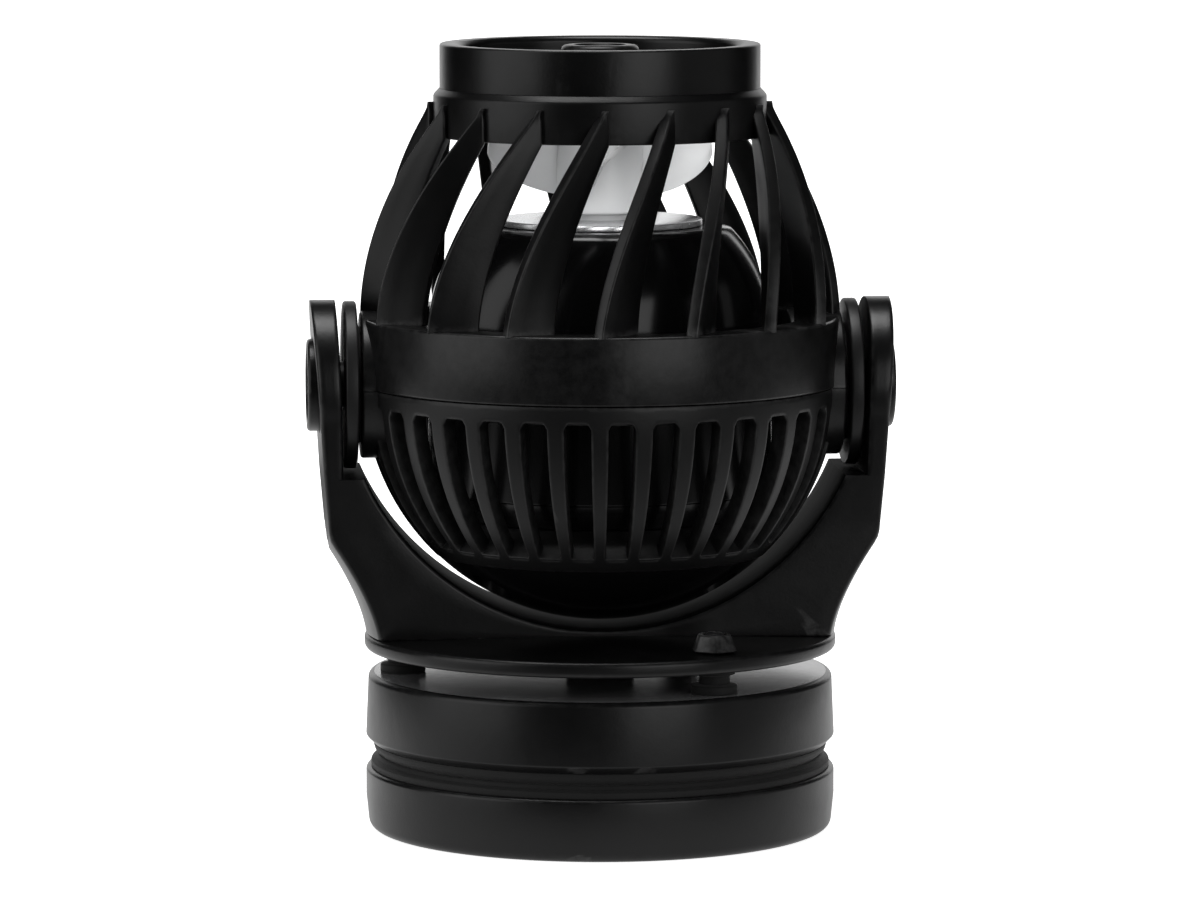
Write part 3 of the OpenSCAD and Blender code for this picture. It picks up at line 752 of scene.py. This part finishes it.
def build_cage():
    bm = bmesh.new()
    prof = [(25.75, 0.05, 0.2), (30.6, 0.05, 0.3), (30.6, RING_TOP, 0.45), (25.75, RING_TOP, 0.3)]
    add_revolve(bm, fillet(prof, n=4), 224, HEAD)
    prof = [(26.2, -2.6, 0.15), (28.0, -2.6, 0.3), (28.0, 0.3), (26.2, 0.3)]
    for a0, a1 in ((24.5, 73.0), (107.0, 155.5), (204.5, 335.5)):
        add_revolve(bm, fillet(prof, n=3), 96, HEAD, a0, a1)
    for s in (1, -1):
        add_half_boss(bm, s, 1)
    piece("cage_band", bm, "pump_head", ["abs"], ["cage_ring"])

    t = 1.6
    bm = bmesh.new()
    for k in range(16):
        rot = HEAD @ Matrix.Rotation(math.radians(-5 + k * 22.5), 4, "Z")
        loops = []
        zs = [RING_TOP - 0.2] + [RING_TOP + (SKIRT0 - RING_TOP) * i / 34 for i in range(1, 35)] + [SKIRT0 + (VANE_TIP - SKIRT0) * i / 12 for i in range(1, 13)]
        for z in zs:
            a = Vector(planar(v_out(z), v_phi(z)))
            b = Vector(planar(v_in(z), v_phi(z) + v_dphi(z)))
            d = (b - a).normalized()
            nn = Vector((-d.y, d.x)) * (t / 2)
            w = (b - a).length
            r = min(0.28, 0.3 * w)
            # outer edge and inner edge with small radii
            sec = []
            for (u, v) in ((0, 1), (1, 1), (1, -1), (0, -1)):
                corner = a + d * (w * u) + nn * v
                du = d * (r if u == 0 else -r)
                dv = nn.normalized() * (-r * v)
                arc = []
                for q in (0, 22.5, 45, 67.5, 90):
                    qq = math.radians(q)
                    if u == 0:
                        arc.append(corner + du * (1 - math.sin(qq)) + dv * (1 - math.cos(qq)))
                    else:
                        arc.append(corner + du * (1 - math.sin(qq)) + dv * (1 - math.cos(qq)))
                # order the arc along the outline
                if (u, v) in ((0, 1), (1, -1)):
                    arc = arc[::-1]
                sec += arc
                if (u, v) == (0, 1):
                    for f in (0.33, 0.66):
                        sec.append(a + d * (w * f) + nn)
                if (u, v) == (1, -1):
                    for f in (0.66, 0.33):
                        sec.append(a + d * (w * f) - nn)
            loops.append([rot @ Vector((p.x, p.y, z)) for p in sec])
        add_loft(bm, loops)
    piece("cage_guide_vanes", bm, "pump_head", ["abs_cage"], ["cage_vanes"], sharp=40)

    bm = bmesh.new()
    prof = [(NOZZLE_R - 0.65, SKIRT0, 0.1), (SKIRT_R, SKIRT0, 0.25), (SKIRT_R, SKIRT1 - 0.8, 0.6), (NOZZLE_R + 0.04, SKIRT1, 0.04), (NOZZLE_R - 0.65, SKIRT1, 0.05)]
    add_revolve(bm, fillet(prof, n=4), 224, HEAD)
    piece("cage_skirt_band", bm, "pump_head", ["abs_cage"], ["cage_skirt"])

    ri = NOZZLE_R - 2.5
    bm = bmesh.new()
    prof = [(ri, SKIRT0 + 0.7, 0.8), (NOZZLE_R - 0.7, SKIRT0 + 0.7, 0.1), (NOZZLE_R - 0.7, SKIRT1 + 0.01), (NOZZLE_R, SKIRT1 + 0.01, 0.05), (NOZZLE_R, NOZZLE_TOP, 0.3), (ri, NOZZLE_TOP, 0.85)]
    add_revolve(bm, fillet(prof, n=7), 224, HEAD)
    piece("outlet_collar_ring", bm, "pump_head", ["abs"], ["nozzle_ring"])

    # spider
    bm = bmesh.new()
    add_revolve(bm, fillet([(ri - 1.3, 38.4, 0.3), (ri - 0.03, 38.4, 0.1), (ri - 0.03, 41.6, 0.2), (ri - 1.3, 41.6, 0.3)], n=4), 160, HEAD)
    add_revolve(bm, fillet([(3.02, 36.95, 0.2), (5.0, 36.95, 0.4), (5.0, 43.35, 0.8), (3.4, 43.35, 0.2), (3.2, 43.05, 0.2), (0, 43.05), (0, 40.5), (3.02, 40.5, 0.1)], n=5), 96, HEAD)
    for a in (30, 150, 270):
        w = HEAD @ Matrix.Rotation(math.radians(a), 4, "Z")
        loops = []
        for i in range(13):
            x = 4.4 + (ri - 0.9 - 4.4) * i / 12
            f = abs(i / 12 - 0.5) * 2
            hw = 0.5 + 0.12 * f ** 3
            z0, z1 = 38.45, 41.55
            sec = fillet([(-hw, z0, 0.45), (hw, z0, 0.45), (hw, z1, 0.3), (-hw, z1, 0.3)], n=3)
            loops.append([w @ Vector((x, p[0], p[1])) for p in sec])
        add_loft(bm, loops)
    piece("outlet_spider", bm, "pump_head", ["abs_cage"], ["bearing_spider"])


def add_half_boss(bm, s, up):
    """Half of a pivot boss, above or below the joint plane."""
    w = HEAD @ AX[s]
    # in the boss frame Z runs outwards along the pivot axis; the joint plane is its X = 0 plane
    # for s = 1 the head's +Z is the frame's -X, for s = -1 it is +X
    a0 = 90 if (s == 1) == (up > 0) else -90
    prof = [(3.03, 24.0, 0.1), (BOSS_R, 24.0, 0.2), (BOSS_R, 30.8, 0.35), (3.03, 30.8, 0.2)]
    prof = fillet(prof, n=4)
    eps = 0.28
    add_revolve(bm, prof, 72, w, a0 + eps, a0 + 180 - eps)


# ------------------------------------------------------------------ rear bowl
def build_bowl():
    R, pitch, count = 30.4, 360 / 34, 34
    top, z_slot_top, z_slot_bot, z_step = -0.05, -2.2, -20.15, -21.9
    corner_t, corner_b = 0.75, 0.35

    def hw(r):
        return 1.26 + (r - 18) / 16 * 0.57

    def rs(z, rad=R):
        return math.sqrt(rad * rad - z * z)

    bm = bmesh.new()
    us = [-1.0, -0.82, -0.6, -0.3, 0.0, 0.3, 0.6, 0.82, 1.0]
    rib = [0.2, 0.4, 0.6, 0.8]

    def drop(u, c, r):
        e = abs(u) * hw(r) - (hw(r) - c)
        return 0.0 if e <= 0 else c - math.sqrt(max(0.0, c * c - e * e))

    def half_angle(z):
        r = rs(z)
        return math.degrees(math.asin(hw(r) / r))

    n_up, n_slot, n_low = 4, 22, 4
    za, zb = z_slot_top - corner_t, z_slot_bot + corner_b

    def column(kind, u):
        """Heights of the rows of one column."""
        if kind == "slot":
            t = z_slot_top - drop(u, corner_t, 30.2)
            b = z_slot_bot + drop(u, corner_b, 23.0)
        else:
            t, b = za, zb
        upper = [top + (t - top) * j / n_up for j in range(n_up + 1)]
        mid = [t + (b - t) * j / n_slot for j in range(1, n_slot)]
        lower = [b + (z_step + 0.0 - b) * j / n_low for j in range(n_low + 1)]
        return upper, mid, lower

    def vert(theta, z):
        r = rs(z)
        a = math.radians(theta)
        return HEAD @ Vector((r * math.cos(a), r * math.sin(a), z))

    cols = []
    for k in range(count):
        c = -90 - 4.5 + (k + 0.5) * pitch
        for u in us:
            cols.append((c, "slot", u))
        for f in rib:
            cols.append((c, "rib", f))
    built = []
    for c, kind, u in cols:
        up, mid, low = column(kind, u)
        rows = []
        for part, zs in (("u", up), ("m", mid), ("l", low)):
            if part == "m" and kind == "slot" and abs(u) < 1:
                rows += [None] * len(zs)
                continue
            for z in zs:
                ha = half_angle(z)
                if kind == "slot":
                    th = c + u * ha
                else:
                    th = c + ha + (pitch - 2 * ha) * u
                rows.append(bm.verts.new(vert(th, z)))
        built.append(rows)
    n = len(built)
    for i in range(n):
        a, b = built[i], built[(i + 1) % n]
        for j in range(len(a) - 1):
            q = (a[j], b[j], b[j + 1], a[j + 1])
            if all(v is not None for v in q):
                bm.faces.new(q)
    bmesh.ops.recalc_face_normals(bm, faces=bm.faces)
    bm.normal_update()
    # face outward
    f0 = bm.faces[:][0]
    centre = HEAD @ Vector((0, 0, 0))
    if (f0.calc_center_median() - centre).dot(f0.normal) < 0:
        bmesh.ops.reverse_faces(bm, faces=bm.faces)
    me = bpy.data.meshes.new("bowl_skin")
    bm.to_mesh(me)
    bm.free()
    tmp = bpy.data.objects.new("bowl_skin_tmp", me)
    bpy.context.scene.collection.objects.link(tmp)
    so = tmp.modifiers.new("solid", "SOLIDIFY")
    so.thickness = 2.2
    so.offset = -1.0
    so.use_even_offset = True
    be = tmp.modifiers.new("bevel", "BEVEL")
    be.width = 0.26
    be.segments = 2
    be.limit_method = "ANGLE"
    be.angle_limit = math.radians(42)
    be.use_clamp_overlap = True
    dg = bpy.context.evaluated_depsgraph_get()
    res = bpy.data.meshes.new_from_object(tmp.evaluated_get(dg), depsgraph=dg)
    bm = bmesh.new()
    bm.from_mesh(res)
    bpy.data.objects.remove(tmp)
    for s in (1, -1):
        add_half_boss(bm, s, -1)
    # seat for the motor inside the bowl: its top slopes down to the feet of the slots
    add_revolve(bm, fillet([(13.9, -16.8, 0.3), (19.8, -16.8, 0.3), (22.9, -20.0, 0.1), (21.0, -21.6, 0.1), (13.9, -21.6, 0.1)], n=3), 192, HEAD)
    # boss of the cord outlet, at the back
    w = HEAD @ T(0, 0, -6.5) @ Matrix.Rotation(math.radians(-90), 4, "X")
    add_revolve(bm, fillet([(4.4, 25.0, 0.2), (6.2, 25.0, 0.2), (6.2, 30.9, 0.5), (4.4, 30.9, 0.3)], n=4), 96, w)
    piece("bowl_slotted", bm, "pump_head", ["abs_ribs"], ["rear_bowl"], sharp=40)

    # closed cup under the slots, one moulding with the bowl
    prof = []
    rc = 30.3
    z_a = z_step + 0.35
    prof.append((math.sqrt(rc * rc - z_a * z_a) - 1.6, z_a))
    steps = 40
    a_start = math.asin(-z_a / rc)
    for k in range(steps + 1):
        a = a_start + (math.pi / 2 - a_start) * k / steps
        prof.append((max(0.0, rc * math.cos(a)) if k < steps else 0.0, -rc * math.sin(a)))
    prof += [(0.0, -25.0), (13.8, -25.0), (13.8, z_a)]
    bm = bmesh.new()
    add_revolve(bm, prof, 192, HEAD)
    ob = piece("bowl_cup", bm, "pump_head", ["pod"], (), sharp=40)
    c = bmesh.new()
    for a in (90, 210, 330):
        w = HEAD @ Matrix.Rotation(math.radians(a), 4, "Z") @ T(16.4, 0, 0)
        add_revolve(c, [(0, -34), (2.7, -34), (2.7, -22.1), (0, -22.1)], 48, w)
    cut(ob, c, 40)

    bm = bmesh.new()
    for a in (90, 210, 330):
        w = HEAD @ Matrix.Rotation(math.radians(a), 4, "Z") @ T(16.4, 0, 0)
        # pan head with a cross recess
        rings = [(0.0, None), (2.05, -23.4), (2.32, -23.2), (2.4, -22.9), (2.4, -22.15)]
        seg = 48
        rows = []
        for r, z in rings[1:]:
            rows.append([bm.verts.new(w @ Vector((r * math.cos(2 * math.pi * i / seg), r * math.sin(2 * math.pi * i / seg), z))) for i in range(seg)])
        for ra, rb in zip(rows[:-1], rows[1:]):
            for i in range(seg):
                bm.faces.new((ra[i], ra[(i + 1) % seg], rb[(i + 1) % seg], rb[i]))
        # cross outline, inset from the rim, then its floor
        cross = []
        for q in range(4):
            for (x, y) in ((1.5, -0.3), (1.5, 0.3), (0.36, 0.36)):
                ang = math.radians(90 * q)
                cross.append((x * math.cos(ang) - y * math.sin(ang), x * math.sin(ang) + y * math.cos(ang)))
        ctop = [bm.verts.new(w @ Vector((x, y, -23.38))) for x, y in cross]
        cbot = [bm.verts.new(w @ Vector((x * 0.72, y * 0.72, -22.75))) for x, y in cross]
        m = len(cross)
        for i in range(m):
            bm.faces.new((ctop[i], ctop[(i + 1) % m], cbot[(i + 1) % m], cbot[i]))
        bm.faces.new(cbot)
        # ring between the rim and the cross
        rim = rows[0]
        for i in range(seg):
            a0 = math.atan2(math.sin(2 * math.pi * i / seg), math.cos(2 * math.pi * i / seg))
            j = min(range(m), key=lambda t: abs((math.atan2(cross[t][1], cross[t][0]) - a0 + math.pi) % (2 * math.pi) - math.pi))
            i2 = (i + 1) % seg
            a1 = math.atan2(math.sin(2 * math.pi * i2 / seg), math.cos(2 * math.pi * i2 / seg))
            j2 = min(range(m), key=lambda t: abs((math.atan2(cross[t][1], cross[t][0]) - a1 + math.pi) % (2 * math.pi) - math.pi))
            if j == j2:
                bm.faces.new((rim[i], rim[i2], ctop[j]))
            else:
                bm.faces.new((rim[i], rim[i2], ctop[j2], ctop[j]))
        add_revolve(bm, [(0, -22.2), (2.4, -22.2), (2.4, -22.1), (1.2, -22.1), (1.2, -14.3), (0, -14.3)], 32, w)
    piece("case_screw_set", bm, "pump_head", ["steel"], ["case_screws"])


# ------------------------------------------------------------------ motor
def dome(z):
    return 22 * math.sqrt(1 - ((z - 7) / 20) ** 2)


def build_motor():
    bm = bmesh.new()
    outer = [(20.15, -13.45, 0.05), (22.0, -13.45, 0.25), (22.0, 7.0)]
    n = 26
    outer += [(dome(7 + 12.9 * k / n), 7 + 12.9 * k / n) for k in range(1, n + 1)]
    outer += [(15.6, 20.3, 0.3), (8.95, 20.3), (8.95, 18.5)]
    inner = [(dome(18.5 - 11.5 * k / 10) - 1.85, 18.5 - 11.5 * k / 10) for k in range(11)]
    add_revolve(bm, fillet(outer + inner, n=4), 224, HEAD)
    piece("motor_dome", bm, "pump_head", ["pod"], ["motor_pod"], sharp=40)

    bm = bmesh.new()
    prof = [(0, -24.95), (13.6, -24.95, 0.6), (13.6, -16.8, 0.2), (19.6, -16.8, 0.3)]
    for i in range(1, 6):
        z = -16.8 + 3.3 * i / 5
        prof.append((min(21.95, math.sqrt(25.8 ** 2 - z * z)), z))
    prof += [(20.1, -13.5), (20.1, -11.8, 0.2), (18.6, -11.8, 0.2), (18.6, -13.5), (8.9, -13.5), (8.9, 18.4), (8, 18.4), (8, -16.9), (4.02, -16.9), (4.02, -19.6), (0, -19.6)]
    add_revolve(bm, fillet(prof, n=3), 192, HEAD)
    piece("motor_base_can", bm, "pump_head", ["pod"], ["motor_base"], sharp=40)

    bm = bmesh.new()
    prof = [(4.2, 19, 0.1), (8.8, 19, 0.1), (8.8, 20.35), (13.1, 20.35, 0.15), (13.1, 21.15, 0.22), (4.2, 21.15, 0.15)]
    add_revolve(bm, fillet(prof, n=4), 192, HEAD)
    piece("motor_top_plate", bm, "pump_head", ["cover"], ["motor_cover"], sharp=40)

    bm = bmesh.new()
    w = HEAD @ T(0, 19.6, -6.5) @ Matrix.Rotation(math.radians(-90), 4, "X")
    prof = [(0, 0), (4, 0, 0.2), (4, 11.5, 0.2), (3.95, 12.1, 0.2), (3.45, 12.25, 0.1), (3.45, 12.6, 0.1), (3.75, 12.75, 0.15), (3.6, 13.2, 0.2), (3.3, 13.6, 0.2), (2.6, 13.6, 0.25), (2.6, 2, 0.1), (0, 2)]
    add_revolve(bm, fillet(prof, n=4), 72, w)
    piece("cord_outlet_gland", bm, "pump_head", ["rubber"], ["cable_gland"])


# ------------------------------------------------------------------ pivots
def build_pivots():
    bc, bw, bs, bp = bmesh.new(), bmesh.new(), bmesh.new(), bmesh.new()
    for s in (1, -1):
        w = HEAD @ AX[s]
        add_revolve(bc, fillet([(0, 35.75), (5.9, 35.75, 0.1), (5.9, 37.6, 0.45), (4.75, 37.6, 0.25), (4.35, 37.15, 0.3), (0, 37.15)], n=5), 128, w)
        add_revolve(bw, fillet([(3.1, 30.85, 0.05), (7.5, 30.85, 0.17), (7.5, 31.25, 0.17), (3.1, 31.25, 0.05)], n=4), 96, w)
        add_revolve(bs, fillet([(3.1, 31.3, 0.1), (10.7, 31.3, 0.3), (10.7, 32.95, 0.3), (3.1, 32.95, 0.1)], n=4), 128, w)
        add_revolve(bp, fillet([(0, 22.8), (5, 22.8, 0.3), (5, 23.95, 0.2), (3, 23.95), (3, 35.75, 0.1), (0, 35.75)], n=4), 72, w)
    piece("pivot_cap_pair", bc, "pump_head", ["abs"], ["pivot_caps"])
    piece("pivot_washer_pair", bw, "pump_head", ["rubber"], ["pivot_washers"])
    piece("pivot_spacer_pair", bs, "pump_head", ["nylon"], ["pivot_spacers"])
    piece("pivot_pin_pair", bp, "pump_head", ["steel_black"], ["pivot_pins"])


# ------------------------------------------------------------------ rotor
def build_rotor():
    bm = bmesh.new()
    zt, rt = 36.2, 14.4
    add_revolve(bm, fillet([(1.55, -13.3, 0.1), (3.58, -13.3, 0.3), (3.58, 21.8, 0.2), (5.5, 22.0, 0.4), (5.5, 36.5, 1.4), (1.55, 36.5, 0.3)], n=6), 96, HEAD)

    def low(r):
        return 30.7 - 6.7 * math.sqrt(max(0.0, 1 - ((r - 4) / (rt - 3.8)) ** 2))

    nr, nz = 26, 18
    for k in range(4):
        w = HEAD @ Matrix.Rotation(math.radians(90 * k), 4, "Z")
        grid = {}
        for s in (-1, 1):
            for i in range(nr + 1):
                r = 4.6 + (rt - 4.6) * math.sin(math.pi / 2 * i / nr)
                for j in range(nz + 1):
                    z = low(r) + (zt - low(r)) * j / nz
                    # thinner towards the tip and the edges
                    edge = min(j, nz - j) / nz
                    th = (0.72 - 0.2 * (i / nr)) * (0.55 + 0.45 * min(1.0, edge * 6))
                    if i == nr:
                        th *= 0.6
                    a = math.radians((z - 29.8) * 4.8) + s * th / r
                    grid[s, i, j] = bm.verts.new(w @ Vector((r * math.cos(a), r * math.sin(a), z)))
        for s in (-1, 1):
            for i in range(nr):
                for j in range(nz):
                    bm.faces.new((grid[s, i, j], grid[s, i + 1, j], grid[s, i + 1, j + 1], grid[s, i, j + 1]))
        for i in range(nr):
            for j in (0, nz):
                bm.faces.new((grid[-1, i, j], grid[-1, i + 1, j], grid[1, i + 1, j], grid[1, i, j]))
        for j in range(nz):
            for i in (0, nr):
                bm.faces.new((grid[-1, i, j], grid[-1, i, j + 1], grid[1, i, j + 1], grid[1, i, j]))
    piece("impeller_blades_hub", bm, "rotor", ["impeller"], ["impeller"], sharp=45)


build_mount()
build_yoke()
build_cage()
build_bowl()
build_motor()
build_pivots()
build_rotor()

# CAD nodes that stay as they are, with their own finishes
KEEP = {
    "dry_keeper": "steel", "dry_magnets": "nickel", "dry_lid": "abs", "wet_keeper": "steel", "wet_magnets": "nickel",
    "wet_lid": "abs", "front_bush": "ceramic", "stator_core": "stator", "coils": "copper", "potting": "resin",
    "rear_bush": "ceramic", "thrust_washer": "ceramic", "shaft": "ceramic", "rotor_magnet": "ferrite",
}
for node, mat in KEEP.items():
    ob = frame["nodes"][node]
    ob.data.materials.clear()
    ob.data.materials.append(MAT[mat])

# ------------------------------------------------------------------ floor, light and camera
scene = bpy.context.scene
CAM_AZ = -4.5


def only(ob, camera=False, glossy=False, diffuse=False, shadow=False):
    ob.visible_camera = camera
    ob.visible_glossy = glossy
    ob.visible_diffuse = diffuse
    ob.visible_transmission = glossy
    ob.visible_volume_scatter = False
    ob.visible_shadow = shadow


def stage_object(name, me, mat):
    me.materials.append(mat)
    ob = bpy.data.objects.new(name, me)
    scene.collection.objects.link(ob)
    return ob


def plain_emission(name, strength):
    m = bpy.data.materials.new(name)
    m.use_nodes = True
    nt = m.node_tree
    nt.nodes.clear()
    out = nt.nodes.new("ShaderNodeOutputMaterial")
    em = nt.nodes.new("ShaderNodeEmission")
    em.inputs["Color"].default_value = (1, 1, 1, 1)
    em.inputs["Strength"].default_value = strength
    nt.links.new(em.outputs[0], out.inputs["Surface"])
    return m, nt, em, out


# white floor: lit a little by itself so that only a faint contact shadow shows; that self-light is weaker near the
# object, a painted shade around it
fm, nt, em, out = plain_emission("floor_white", 0.86)
df = nt.nodes.new("ShaderNodeBsdfDiffuse")
df.inputs["Color"].default_value = (0.8, 0.8, 0.8, 1)
far = nt.nodes.new("ShaderNodeVectorMath")
far.operation = "LENGTH"
nt.links.new(nt.nodes.new("ShaderNodeTexCoord").outputs["Object"], far.inputs[0])
# painted shade: the floor's glow dims towards the object
floor_painted_shade_ramp = nt.nodes.new("ShaderNodeMapRange")
floor_painted_shade_ramp.inputs["From Min"].default_value = 0.10
floor_painted_shade_ramp.inputs["From Max"].default_value = 0.50
floor_painted_shade_ramp.inputs["To Min"].default_value = 0.86
floor_painted_shade_ramp.inputs["To Max"].default_value = 1.05
nt.links.new(far.outputs["Value"], floor_painted_shade_ramp.inputs["Value"])
nt.links.new(floor_painted_shade_ramp.outputs["Result"], em.inputs["Strength"])
add = nt.nodes.new("ShaderNodeAddShader")
nt.links.new(em.outputs[0], add.inputs[0])
nt.links.new(df.outputs[0], add.inputs[1])
nt.links.new(add.outputs[0], out.inputs["Surface"])
b = bmesh.new()
bmesh.ops.create_grid(b, x_segments=1, y_segments=1, size=6.0)
me = bpy.data.meshes.new("floor")
b.to_mesh(me)
b.free()
floor = stage_object("floor", me, fm)
floor.location = (0, 0, -0.00002)
only(floor, camera=True)

# white surround
dm, _, _, _ = plain_emission("surround_white", 1.0)
b = bmesh.new()
bmesh.ops.create_icosphere(b, subdivisions=4, radius=7.0)
me = bpy.data.meshes.new("surround")
b.to_mesh(me)
b.free()
only(stage_object("surround", me, dm), camera=True)

# light that the table throws back at the lower parts: strong behind and beside them, weak in front
tm, nt, em, out = plain_emission("table_bounce", 1.0)
tc = nt.nodes.new("ShaderNodeTexCoord")
sep = nt.nodes.new("ShaderNodeSeparateXYZ")
nt.links.new(tc.outputs["Object"], sep.inputs[0])
mr = nt.nodes.new("ShaderNodeMapRange")
mr.inputs["From Min"].default_value = -0.20
mr.inputs["From Max"].default_value = 0.10
nt.links.new(sep.outputs["Y"], mr.inputs["Value"])
col = ramp(nt, mr.outputs["Result"], [(0.10, (0.02,) * 3), (0.30, (0.08,) * 3), (0.45, (0.28,) * 3), (0.60, (0.55,) * 3), (0.76, (1.0,) * 3)])
ln = nt.nodes.new("ShaderNodeVectorMath")
ln.operation = "LENGTH"
nt.links.new(tc.outputs["Object"], ln.inputs[0])
mr2 = nt.nodes.new("ShaderNodeMapRange")
mr2.interpolation_type = "SMOOTHSTEP"
mr2.inputs["From Min"].default_value = 0.18
mr2.inputs["From Max"].default_value = 0.36
mr2.inputs["To Min"].default_value = 1.0
mr2.inputs["To Max"].default_value = 0.0
nt.links.new(ln.outputs["Value"], mr2.inputs["Value"])
nt.links.new(col, em.inputs["Color"])
nt.links.new(mr2.outputs["Result"], em.inputs["Strength"])
b = bmesh.new()
bmesh.ops.create_grid(b, x_segments=1, y_segments=1, size=0.4)
me = bpy.data.meshes.new("table_bounce")
b.to_mesh(me)
b.free()
bounce = stage_object("table_bounce", me, tm)
bounce.location = (0, 0, -0.0002)
only(bounce, glossy=True, diffuse=True)

world = bpy.data.worlds.new("studio")
world.use_nodes = True
bg = world.node_tree.nodes["Background"]
bg.inputs["Color"].default_value = (1, 1, 1, 1)
bg.inputs["Strength"].default_value = 0.6
vis = world.cycles_visibility
vis.camera, vis.glossy, vis.transmission, vis.scatter, vis.diffuse = False, False, False, False, True
scene.world = world
scene.view_settings.view_transform = "Standard"
scene.view_settings.look = "None"


def softbox(name, azimuth, distance, z0, z1, width, radiance):
    """A softbox at an azimuth measured from the camera's, facing the object."""
    a = math.radians(CAM_AZ + azimuth)
    loc = Vector((math.sin(a) * distance, -math.cos(a) * distance, (z0 + z1) / 2))
    li = bpy.data.lights.new(name, "AREA")
    li.shape = "RECTANGLE"
    li.size = width
    li.size_y = z1 - z0
    li.energy = radiance * math.pi * width * (z1 - z0)
    ob = bpy.data.objects.new(name, li)
    ob.location = loc
    ob.rotation_mode = "QUATERNION"
    ob.rotation_quaternion = (Vector((0, 0, loc.z)) - loc).to_track_quat("-Z", "Y")
    ob.visible_camera = False
    scene.collection.objects.link(ob)
    return ob


softbox("soft_left", -67, 1.0, -0.20, 1.05, 0.90, 0.92)
softbox("soft_right_front", 31, 1.25, -0.25, 0.75, 0.80, 1.15)
softbox("soft_right_side", 85, 1.2, -0.20, 0.60, 0.9, 0.14)
softbox("backdrop", 180, 1.5, -0.45, 0.75, 1.7, 1.15)
top = bpy.data.lights.new("soft_top", "AREA")
top.shape = "RECTANGLE"
top.size, top.size_y = 0.7, 0.5
top.energy = 5.0 * math.pi * 0.35
top_ob = bpy.data.objects.new("soft_top", top)
top_ob.location = (-0.1, 0.1, 1.1)
top_ob.visible_camera = False
scene.collection.objects.link(top_ob)

# fill that reaches only the light-coloured parts inside the cage
fill = bpy.data.lights.new("fill_inside", "AREA")
fill.shape = "RECTANGLE"
fill.size, fill.size_y = 1.0, 0.8
fill.energy = 3.0 * math.pi * 0.8
fill_ob = bpy.data.objects.new("fill_inside", fill)
fill_ob.location = (0.05, -0.75, 0.35)
fill_ob.rotation_mode = "QUATERNION"
fill_ob.rotation_quaternion = (Vector((0, 0, 0.085)) - fill_ob.location).to_track_quat("-Z", "Y")
fill_ob.visible_camera = False
scene.collection.objects.link(fill_ob)
lit = bpy.data.collections.new("lit_by_fill")
for n in ("impeller_blades_hub", "motor_top_plate"):
    lit.objects.link(bpy.data.objects[n])
fill_ob.light_linking.receiver_collection = lit

cam = bpy.data.cameras.new("camera")
cam.sensor_width = 36.0
cam.lens = 198.6
cam_ob = bpy.data.objects.new("camera", cam)
scene.collection.objects.link(cam_ob)
az, el, dist = math.radians(CAM_AZ), math.radians(6.4), 0.85
target = Vector((0, 0, 0.0486))
back = Vector((math.sin(az) * math.cos(el), -math.cos(az) * math.cos(el), math.sin(el)))
cam_ob.location = target + back * dist
cam_ob.rotation_mode = "QUATERNION"
cam_ob.rotation_quaternion = (-back).to_track_quat("-Z", "Y")
cam.clip_start, cam.clip_end = 0.01, 20.0
scene.camera = cam_ob
